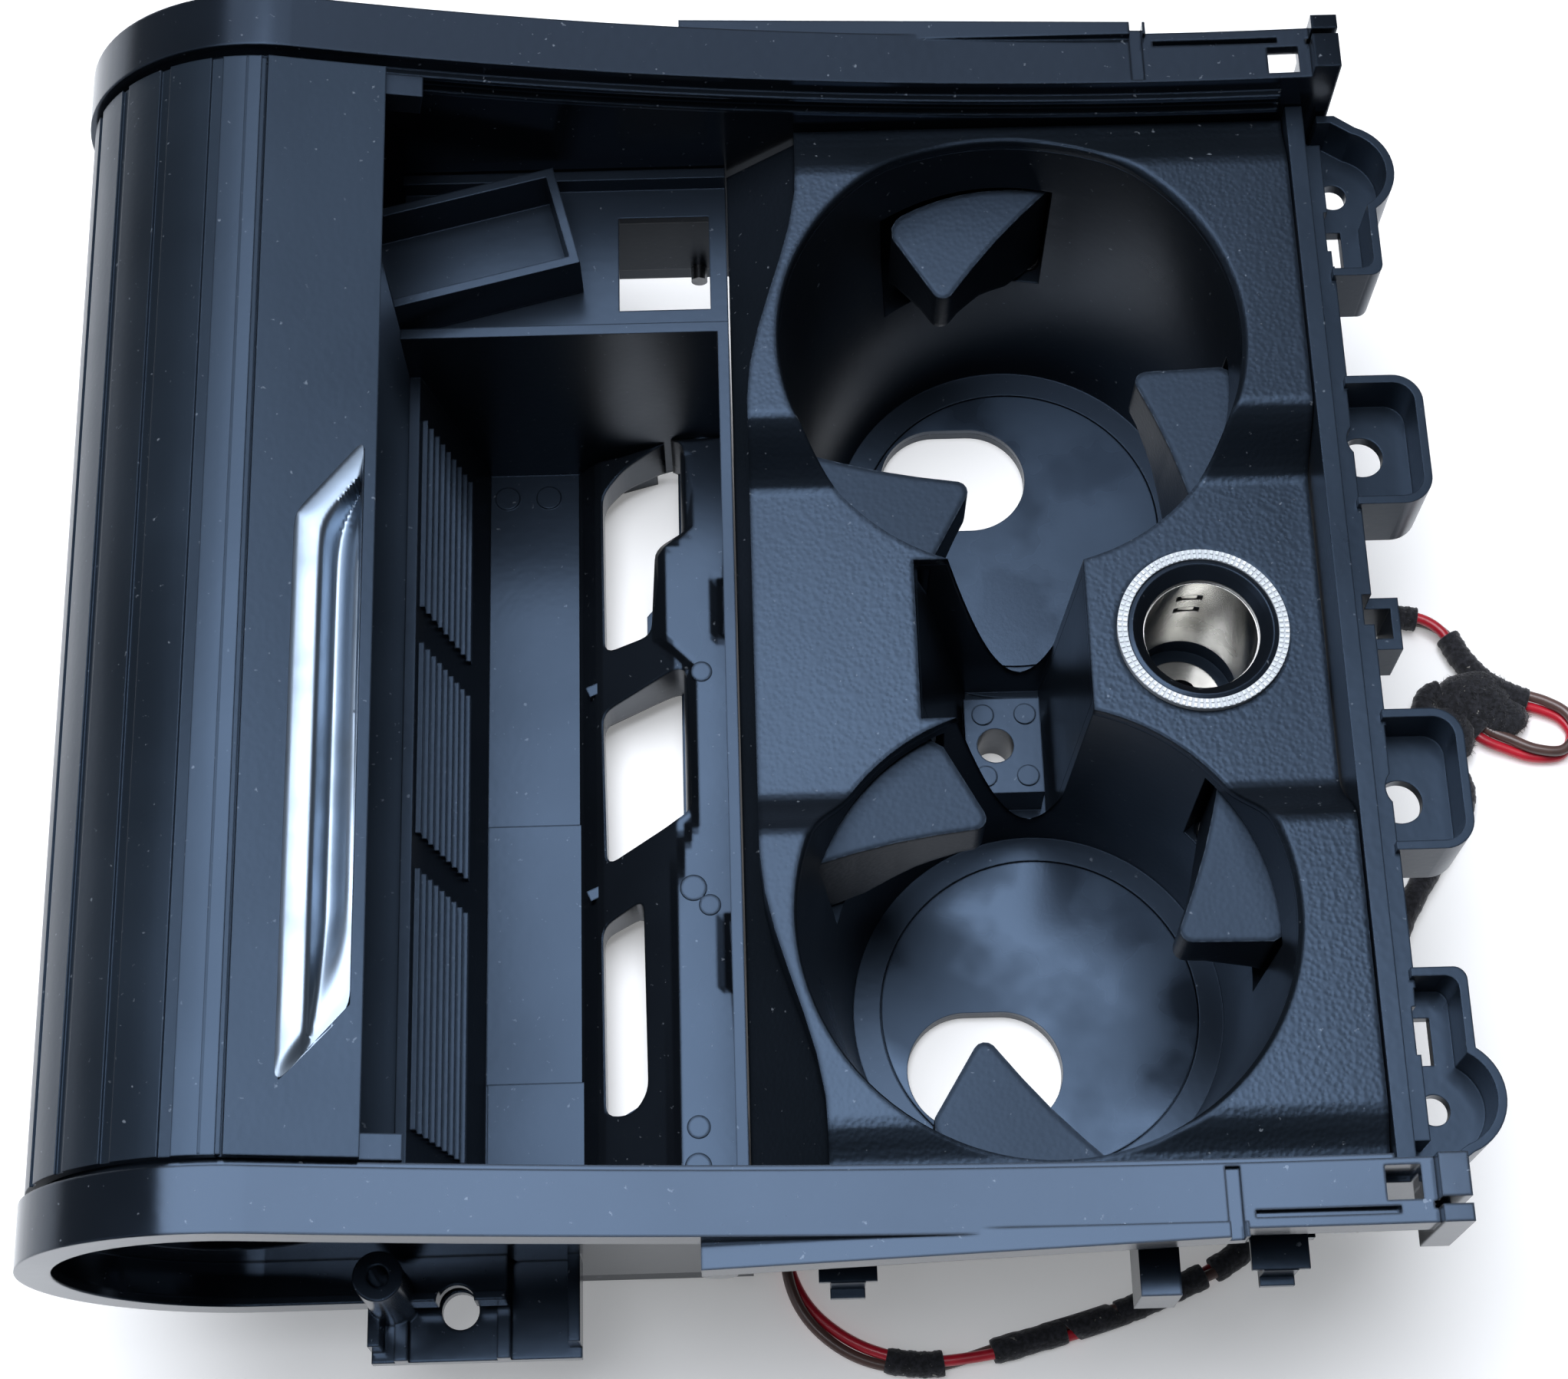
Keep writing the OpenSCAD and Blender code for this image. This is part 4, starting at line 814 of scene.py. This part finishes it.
    @staticmethod
    def sleeve(frames, lengths, start, end, radius):
        """Closed tape sleeve with the soft steps of its overlapping turns."""
        fine = curve_through(stretch(frames, lengths, start, end), 3)
        radii = []
        for i in range(len(fine)):
            wave = 0.05 * math.sin(i * 0.9) + 0.04 * math.sin(i * 2.3 + 1.0)
            end_taper = 0.94 if i in (0, len(fine) - 1) else 1.0
            radii.append(radius * end_taper * (1.0 + 0.6 * wave))
        return tube(f"tape_{round(start / MM)}", fine, radii, 16, "cloth_tape")

    @staticmethod
    def spiral(frames, lengths, start, end, radius):
        """Open helical wrap of a strip of tape, with bare wire between its turns."""
        pitch, width, across, thick = 17 * MM, 10 * MM, 5, 0.35 * MM
        steps_a_turn = 28
        fine = frames_along(curve_through(stretch(frames, lengths, start, end), 4))
        along = arc_lengths([f[0] for f in fine])
        turns = along[-1] / pitch
        steps = int(turns * steps_a_turn)
        points, faces = [], []

        def at(distance, angle, r):
            i = max(1, min(bisect.bisect(along, distance), len(along) - 1))
            t = (distance - along[i - 1]) / max(along[i] - along[i - 1], 1e-9)
            t = max(0.0, min(1.0, t))
            centre = fine[i - 1][0].lerp(fine[i][0], t)
            u, v = fine[i][2], fine[i][3]
            return centre + r * (math.cos(angle) * u + math.sin(angle) * v)

        row = 2 * (across + 1)
        for k in range(steps + 1):
            angle = 2 * math.pi * turns * k / steps
            middle = (along[-1] - width) * k / steps + width / 2
            for layer in (0, 1):
                for j in range(across + 1):
                    offset = (j / across - 0.5) * width
                    points.append(at(middle + offset, angle, radius - thick * layer))
        for k in range(steps):
            a, b = k * row, (k + 1) * row
            for j in range(across):
                faces.append((a + j, a + j + 1, b + j + 1, b + j))
                m = across + 1
                faces.append((a + m + j, b + m + j, b + m + j + 1, a + m + j + 1))
            faces.append((a, b, b + across + 1, a + across + 1))
            faces.append((a + across, a + 2 * across + 1, b + 2 * across + 1, b + across))
        for k, flip in ((0, False), (steps, True)):
            a = k * row
            for j in range(across):
                quad = (a + j, a + across + 1 + j, a + across + 2 + j, a + j + 1)
                faces.append(quad[::-1] if flip else quad)
        return mesh_piece(f"tape_spiral_{round(start / MM)}", points, faces, "cloth_tape")


# The socket's bright ring


class CONSOLE_OT_socket_ring(bpy.types.Operator):
    """Adds two rows of flutes to the ring"""

    bl_idname = "console.socket_ring"
    bl_label = "Socket ring"

    def execute(self, context):
        sizes = context.scene.console_socket
        low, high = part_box("socket_light_ring")
        centre = (low + high) / 2
        outer = (high.x - low.x) / 2
        values = {
            "Count": sizes.flute_count, "Width": sizes.flute_width, "Height": 2 * sizes.flute_height,
            "Outer": outer - 0.45 * MM, "Inner": outer - 1.45 * MM, "Length": 0.75 * MM,
            "X": centre.x, "Y": centre.y, "Z": high.z,
        }
        flutes = from_geometry_nodes("socket_ring_flutes", self.build_tree(), values)
        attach(flutes, "housing")
        return {"FINISHED"}

    @staticmethod
    def build_tree():
        """Two circles of points, each with one small bar per point."""
        tree, size = new_geometry_tree(
            "ring_flutes",
            {"Count": 90, "Width": 0.5 * MM, "Height": 0.4 * MM, "Outer": 15 * MM, "Inner": 14 * MM,
             "Length": 0.7 * MM, "X": 0.0, "Y": 0.0, "Z": 0.0},
        )
        index = add_node(tree, "GeometryNodeInputIndex", (-1000, -300))
        step = add_node(tree, MATH, (-800, -300), {0: 2 * math.pi, 1: size["Count"]}, operation="DIVIDE")
        angle = add_node(tree, MATH, (-600, -300), {0: index, 1: step}, operation="MULTIPLY")
        euler = add_node(tree, "ShaderNodeCombineXYZ", (-500, -500), {"Z": angle})
        turned = add_node(tree, "FunctionNodeEulerToRotation", (-300, -500), {"Euler": euler})
        sides = {"X": size["Length"], "Y": size["Width"], "Z": size["Height"]}
        block = add_node(tree, "ShaderNodeCombineXYZ", (-800, 200), sides)
        bar = add_node(tree, "GeometryNodeMeshCube", (-600, 200), {"Size": block})
        rows = []
        for row, level in (("Outer", 0), ("Inner", -300)):
            inputs = {"Vertices": size["Count"], "Radius": size[row]}
            circle = add_node(tree, "GeometryNodeMeshCircle", (-400, level), inputs)
            inputs = {"Points": circle, "Instance": bar, "Rotation": turned}
            rows.append(add_node(tree, "GeometryNodeInstanceOnPoints", (-100, level), inputs))
        joined = add_node(tree, "GeometryNodeJoinGeometry", (200, 0), {0: rows})
        place = add_node(tree, "ShaderNodeCombineXYZ", (300, -300), {axis: size[axis] for axis in "XYZ"})
        moved = add_node(tree, "GeometryNodeTransform", (500, 0), {"Geometry": joined, "Translation": place})
        dressed_output(tree, moved, "frosted_ring")
        return tree


# Handle of the door


class CONSOLE_OT_door_handle(bpy.types.Operator):
    """Adds the silver handle: a raised bar along a scoop"""

    bl_idname = "console.door_handle"
    bl_label = "Door handle"

    # Plan in millimetres: x of the long sides, y of the four corners, and the radius of these
    left, right = -196.1, -184.5
    left_ends = (10.2, -91.8)
    right_ends = (25.6, -78.6)
    corner_radius = 3.2
    # Heights in millimetres: step at the bar's edge, rise to its crest, and the whole slab
    edge_step, crest_rise, slab = 0.2, 1.15, 3.9
    # Shares of the way from the bar to the rim at which the scoop is deepest, and lengths of its fades
    deepest = 0.34
    tip_fade, low_fade = 3.0, 13.0
    mesh_pitch = 0.42

    def execute(self, context):
        sizes = context.scene.console_door
        bar = sizes.bar_width / MM
        cx, cz = (c / MM for c in RAIL_CENTRE)
        door = NODES["door_panel"].data.vertices
        radius = min(math.hypot(cx - v.co.x / MM, cz - v.co.z / MM) for v in door)
        across = self.right - self.left
        slope_top, slope_low = ((b - a) / across for a, b in zip(self.left_ends, self.right_ends))
        corners = (
            (self.left, self.left_ends[0]), (self.right, self.right_ends[0]),
            (self.right, self.right_ends[1]), (self.left, self.left_ends[1]),
        )

        def nearer(a, b, power):
            """The smaller of two distances, with the turn between them rounded."""
            a, b = max(a, 1e-3), max(b, 1e-3)
            return (a**-power + b**-power) ** (-1.0 / power)

        def crest(share):
            return self.edge_step * smooth(share / 0.12) + self.crest_rise * (1.0 - (1.0 - share) ** 1.7)

        def level(x):
            return cz - math.sqrt(radius**2 - (x - cx) ** 2)

        def height(x, y):
            from_left = x - self.left
            from_top = (self.left_ends[0] + slope_top * from_left - y) / math.hypot(1, slope_top)
            from_low = (y - self.left_ends[1] - slope_low * from_left) / math.hypot(1, slope_low)
            ridge = nearer(from_left, from_top, 5)
            fade = smooth(0.1 + from_low / self.tip_fade)
            if ridge < bar:
                return level(x) + crest(ridge / bar) * fade
            # The scoop drops steeply beside the bar and climbs gently to its rim
            rim = nearer(self.right - x, from_low, 2)
            share = (ridge - bar) / (ridge - bar + rim)
            drop = smooth(share / self.deepest)
            climb = 1.0 - smooth((share - self.deepest) / (1.0 - self.deepest))
            depth = sizes.scoop_depth / MM * smooth((from_low - 1.0) / self.low_fade)
            return level(x) + crest(1.0) * (1.0 - drop) * fade - depth * drop * climb

        def underside(x, y):
            return level(x) - self.slab

        outline = rounded_outline(corners, self.corner_radius, 6)
        handle = relief("silver_handle", outline, [], self.mesh_pitch, height, underside, "satin_silver")
        handle.data.polygons.foreach_set("use_smooth", [True] * len(handle.data.polygons))
        handle.data.set_sharp_from_angle(angle=math.radians(48))
        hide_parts("door_handle")
        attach(handle, "door")
        return {"FINISHED"}


# Webs of the tray's floor


class CONSOLE_OT_tray_webs(bpy.types.Operator):
    """Adds the sloping webs between the tray's strip and its ledge"""

    bl_idname = "console.tray_webs"
    bl_label = "Tray webs"

    # Outlines in millimetres, in plan: the webs, their openings and the raised ledge
    outline = ((-153.2, -99.0), (-120.4, -99.0), (-120.4, 67.6), (-153.2, 67.6))
    openings = (
        (
            (-147.4, 22.6), (-147.7, 58.8), (-143.3, 63.6), (-133.5, 68.2),
            (-130.2, 66.0), (-129.9, 46.6), (-136.6, 43.6), (-137.6, 24.6),
        ),
        ((-147.2, -23.6), (-147.9, 9.4), (-132.6, 16.2), (-130.4, 15.6), (-130.0, -14.5), (-134.2, -17.2)),
        ((-147.8, -75.0), (-148.2, -36.4), (-139.9, -31.9), (-139.4, -71.0), (-142.4, -75.2)),
    )
    ledge = (
        (-134.2, -99.0), (-133.4, -86.0), (-132.6, -30.0), (-131.0, -22.0), (-128.6, -17.0), (-128.4, 16.0),
        (-131.5, 19.0), (-135.0, 23.0), (-135.2, 42.0), (-129.2, 46.0), (-129.0, 62.0), (-132.0, 67.6),
        (-120.4, 67.6), (-120.4, 35.4), (-124.6, 35.4), (-124.6, 21.4), (-120.4, 21.4), (-120.4, -37.0),
        (-124.4, -37.0), (-124.4, -53.0), (-120.4, -53.0), (-120.4, -99.0),
    )
    # Levels of the tray's floor and of the ledge
    floor_top, ledge_top = -66.0, -49.6
    # Plain discs on the ledge: x, y, radius
    discs = (
        (-127.4, 14.6, 2.2), (-129.8, -31.4, 2.7), (-126.6, -35.0, 2.2),
        (-129.6, -79.4, 2.3), (-129.8, -87.0, 2.6),
    )
    disc_sides = 28
    # Foot and slope of the webs: where each starts, how wide it is and how far it rises
    foot = (-153.2, 5.0, 7.6)
    slope = (-148.2, 15.5, 7.0)
    ledge_blend = 1.6
    # Lift off the floor, depth below it, radius of the openings' corners and pitch of the mesh
    lift, sink, corner_radius, mesh_pitch = 0.1, 0.2, 2.4, 1.5

    def execute(self, context):
        ledge = [Vector(p) for p in self.ledge]

        def height(x, y):
            (foot, foot_width, foot_rise), (start, width, rise) = self.foot, self.slope
            up_slope = rise * max(0.0, min(1.0, (x - start) / width))
            level = self.floor_top + self.lift + (foot_rise * smooth((x - foot) / foot_width) + up_slope)
            spot = Vector((x, y))
            away = 0.0 if inside(spot, ledge) else distance_to(spot, ledge)
            return level + (self.ledge_top - level) * smooth(1.0 - away / self.ledge_blend)

        def underside(x, y):
            return self.floor_top - self.sink

        plan = [Vector(p) for p in self.outline]
        holes = [rounded_outline(hole, self.corner_radius) for hole in self.openings]
        webs = relief("tray_webs", plan, holes, self.mesh_pitch, height, underside, "web_abs")
        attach(webs, "housing")
        points, faces = [], []
        sides = self.disc_sides
        for x, y, radius in self.discs:
            base = len(points)
            faces += rings_of(base, 2, sides)
            faces.append(tuple(base + 2 * sides + k for k in range(sides)))
            faces.append(tuple(base + sides - 1 - k for k in range(sides)))
            for z, share in ((-0.3, 1.0), (0.12, 1.0), (0.22, 0.94)):
                for k in range(sides):
                    angle = 2 * math.pi * k / sides
                    across = share * radius * math.cos(angle), share * radius * math.sin(angle)
                    points.append(Vector((x + across[0], y + across[1], self.ledge_top + z)) * MM)
        discs = mesh_piece("ledge_discs", points, faces, "web_abs", False)
        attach(discs, "housing")
        return {"FINISHED"}


# The web behind the door


class CONSOLE_OT_door_web(bpy.types.Operator):
    """Makes the slatted web that the door pulls out of the nose"""

    bl_idname = "console.door_web"
    bl_label = "Door web"

    def execute(self, context):
        sizes = context.scene.console_door
        low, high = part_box("curtain_web")
        cx, cz = RAIL_CENTRE
        radius = math.hypot(cx - low.x, cz - high.z)
        values = {
            "Count": sizes.slats, "Groove": sizes.groove, "Radius": radius + 0.4 * MM, "Thickness": 0.8 * MM,
            "First": math.asin((cx - low.x) / radius), "Last": math.asin((cx - high.x) / radius),
            "CentreX": cx, "CentreY": (low.y + high.y) / 2, "CentreZ": cz, "Width": high.y - low.y,
        }
        web = from_geometry_nodes("curtain_web_slats", self.build_tree(), values)
        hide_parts("curtain_web")
        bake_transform(web)
        self.lead(sizes.lead)
        return {"FINISHED"}

    @staticmethod
    def lead(lip):
        """Lip of the nose that closes the seam in front of the door."""
        cx, cz = RAIL_CENTRE
        door = NODES["door_panel"].data.vertices
        radius = min(math.hypot(cx - v.co.x, cz - v.co.z) for v in door)
        edge = max(math.atan2(cx - v.co.x, cz - v.co.z) for v in door)
        low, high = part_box("roller_curtain")
        points, faces = [], []
        steps = 5
        side_gap = 0.2 * MM
        # Start, top and underside of the lip and of the tongue below it, which reaches under the door
        for start, shallow, deep in ((0.3 * MM, 0.8 * MM, 1.8 * MM), (-2.5 * MM, 2.9 * MM, 3.5 * MM)):
            base = len(points)
            for i in range(steps + 1):
                angle = edge + (start + (lip - start) * i / steps) / radius
                for away in (shallow, deep):
                    reach = radius + away
                    for y in (low.y + side_gap, high.y - side_gap):
                        points.append((cx - reach * math.sin(angle), y, cz - reach * math.cos(angle)))
            for i in range(steps):
                a, b = base + 4 * i, base + 4 * i + 4
                faces += [(a, a + 1, b + 1, b), (a + 2, b + 2, b + 3, a + 3)]
                faces += [(a, b, b + 2, a + 2), (a + 1, a + 3, b + 3, b + 1)]
            end = base + 4 * steps
            faces += [(base, base + 2, base + 3, base + 1), (end, end + 1, end + 3, end + 2)]
        piece = mesh_piece("seam_lip", points, faces, "door_abs", False)
        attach(piece, "housing")

    @staticmethod
    def build_tree():
        """Slats on the rail's arc, spaced so that they are even once the web is pulled out.

        The web stretches towards the door by the share 0.5 - sin(asin(1 - 2s) / 3), so the
        edges of the slats lie at such shares of the arc.
        """
        tree, size = new_geometry_tree(
            "web_slats",
            {"Count": 15, "Groove": 0.12, "Radius": 0.7, "Thickness": 0.8 * MM, "First": 0.2, "Last": 0.1,
             "CentreX": 0.0, "CentreY": 0.0, "CentreZ": 0.0, "Width": 0.1},
        )

        def sums(known, rows, level):
            """Adds a node for each row of sums: a result's name, an operation and two operands."""
            for i, (name, operation, first, second) in enumerate(rows):
                inputs = {0: known.get(first, first), 1: known.get(second, second)}
                known[name] = add_node(tree, MATH, (160 * i - 1000, level), inputs, operation=operation)
            return known

        known = dict(size.items())
        known["index"] = add_node(tree, "GeometryNodeInputIndex", (-1200, -300))
        sums(
            known,
            (
                ("half groove", "MULTIPLY", "Groove", 0.5),
                ("after groove", "SUBTRACT", 1.0, "half groove"),
                ("span", "SUBTRACT", "Last", "First"),
            ),
            -500,
        )
        centre = add_node(
            tree, "ShaderNodeCombineXYZ", (-1000, 300),
            {"X": size["CentreX"], "Y": size["CentreY"], "Z": size["CentreZ"]},
        )
        inputs = {"Count": size["Count"], "Position": centre}
        points = add_node(tree, "GeometryNodePoints", (-800, 300), inputs)

        def row(first, last, deeper, thickness, level):
            """One box for each slat, between two shares of its step, hung from the centre of the arc."""
            for name, offset, at in (("start", first, level), ("end", last, level - 200)):
                sums(
                    known,
                    (
                        ("step", "ADD", "index", offset),
                        ("share", "DIVIDE", "step", "Count"),
                        ("double", "MULTIPLY", "share", 2.0),
                        ("flipped", "SUBTRACT", 1.0, "double"),
                        ("arc", "ARCSINE", "flipped", 0.0),
                        ("third", "DIVIDE", "arc", 3.0),
                        ("wave", "SINE", "third", 0.0),
                        ("eased", "SUBTRACT", 0.5, "wave"),
                        ("part", "MULTIPLY", "span", "eased"),
                        (name, "ADD", "First", "part"),
                    ),
                    at,
                )
            sums(
                known,
                (
                    ("both", "ADD", "start", "end"),
                    ("middle", "MULTIPLY", "both", 0.5),
                    ("between", "SUBTRACT", "end", "start"),
                    ("turned", "ABSOLUTE", "between", 0.0),
                    ("reach", "ADD", "Radius", deeper),
                    ("length", "MULTIPLY", "turned", "reach"),
                    ("drop", "MULTIPLY", "reach", -1.0),
                ),
                level - 400,
            )
            sides = {"X": 1.0, "Y": size["Width"], "Z": thickness}
            block = add_node(tree, "ShaderNodeCombineXYZ", (700, level), sides)
            slat = add_node(tree, "GeometryNodeMeshCube", (850, level), {"Size": block, "Vertices X": 5})
            down = add_node(tree, "ShaderNodeCombineXYZ", (850, level - 200), {"Z": known["drop"]})
            inputs = {"Geometry": slat, "Translation": down}
            hung = add_node(tree, "GeometryNodeTransform", (1000, level), inputs)
            euler = add_node(tree, "ShaderNodeCombineXYZ", (700, level - 400), {"Y": known["middle"]})
            turned = add_node(tree, "FunctionNodeEulerToRotation", (850, level - 400), {"Euler": euler})
            factors = {"X": known["length"], "Y": 1.0, "Z": 1.0}
            scale = add_node(tree, "ShaderNodeCombineXYZ", (1000, level - 400), factors)
            inputs = {"Points": points, "Instance": hung, "Rotation": turned, "Scale": scale}
            return add_node(tree, "GeometryNodeInstanceOnPoints", (1150, level), inputs)

        slats = row("half groove", "after groove", 0.0, size["Thickness"], -700)
        # The skin that joins the slats closes their grooves
        skin = row(0.0, 1.0, 0.2 * MM, 0.25 * MM, -1500)
        joined = add_node(tree, "GeometryNodeJoinGeometry", (1300, -300), {0: [slats, skin]})
        dressed_output(tree, joined, "door_abs")
        return tree


# Panel and registration


class CONSOLE_PT_tools(bpy.types.Panel):
    """Lists the module's pieces in the order they are made"""

    bl_label = "Console module"
    bl_idname = "CONSOLE_PT_tools"
    bl_space_type = "VIEW_3D"
    bl_region_type = "UI"
    bl_category = "Console"

    def draw(self, context):
        for step in STEPS:
            self.layout.operator(step.bl_idname)


STEPS = (
    CONSOLE_OT_stage,
    CONSOLE_OT_wiring,
    CONSOLE_OT_mouldings,
    CONSOLE_OT_socket_ring,
    CONSOLE_OT_tray_webs,
    CONSOLE_OT_door_handle,
    CONSOLE_OT_door_web,
)
GROUPS = {
    "console_stage": StageSizes,
    "console_wiring": WiringSizes,
    "console_socket": SocketSizes,
    "console_door": DoorSizes,
}


def register():
    for group in GROUPS.values():
        bpy.utils.register_class(group)
    for step in STEPS:
        bpy.utils.register_class(step)
    bpy.utils.register_class(CONSOLE_PT_tools)
    for name, group in GROUPS.items():
        setattr(bpy.types.Scene, name, bpy.props.PointerProperty(type=group))


def unregister():
    for name in GROUPS:
        delattr(bpy.types.Scene, name)
    bpy.utils.unregister_class(CONSOLE_PT_tools)
    for step in reversed(STEPS):
        bpy.utils.unregister_class(step)
    for group in reversed(list(GROUPS.values())):
        bpy.utils.unregister_class(group)


def main():
    """Builds the dressed module, one operator after another."""
    register()
    for step in STEPS:
        getattr(bpy.ops.console, step.bl_idname.split(".")[1])()


if __name__ == "__main__":
    main()
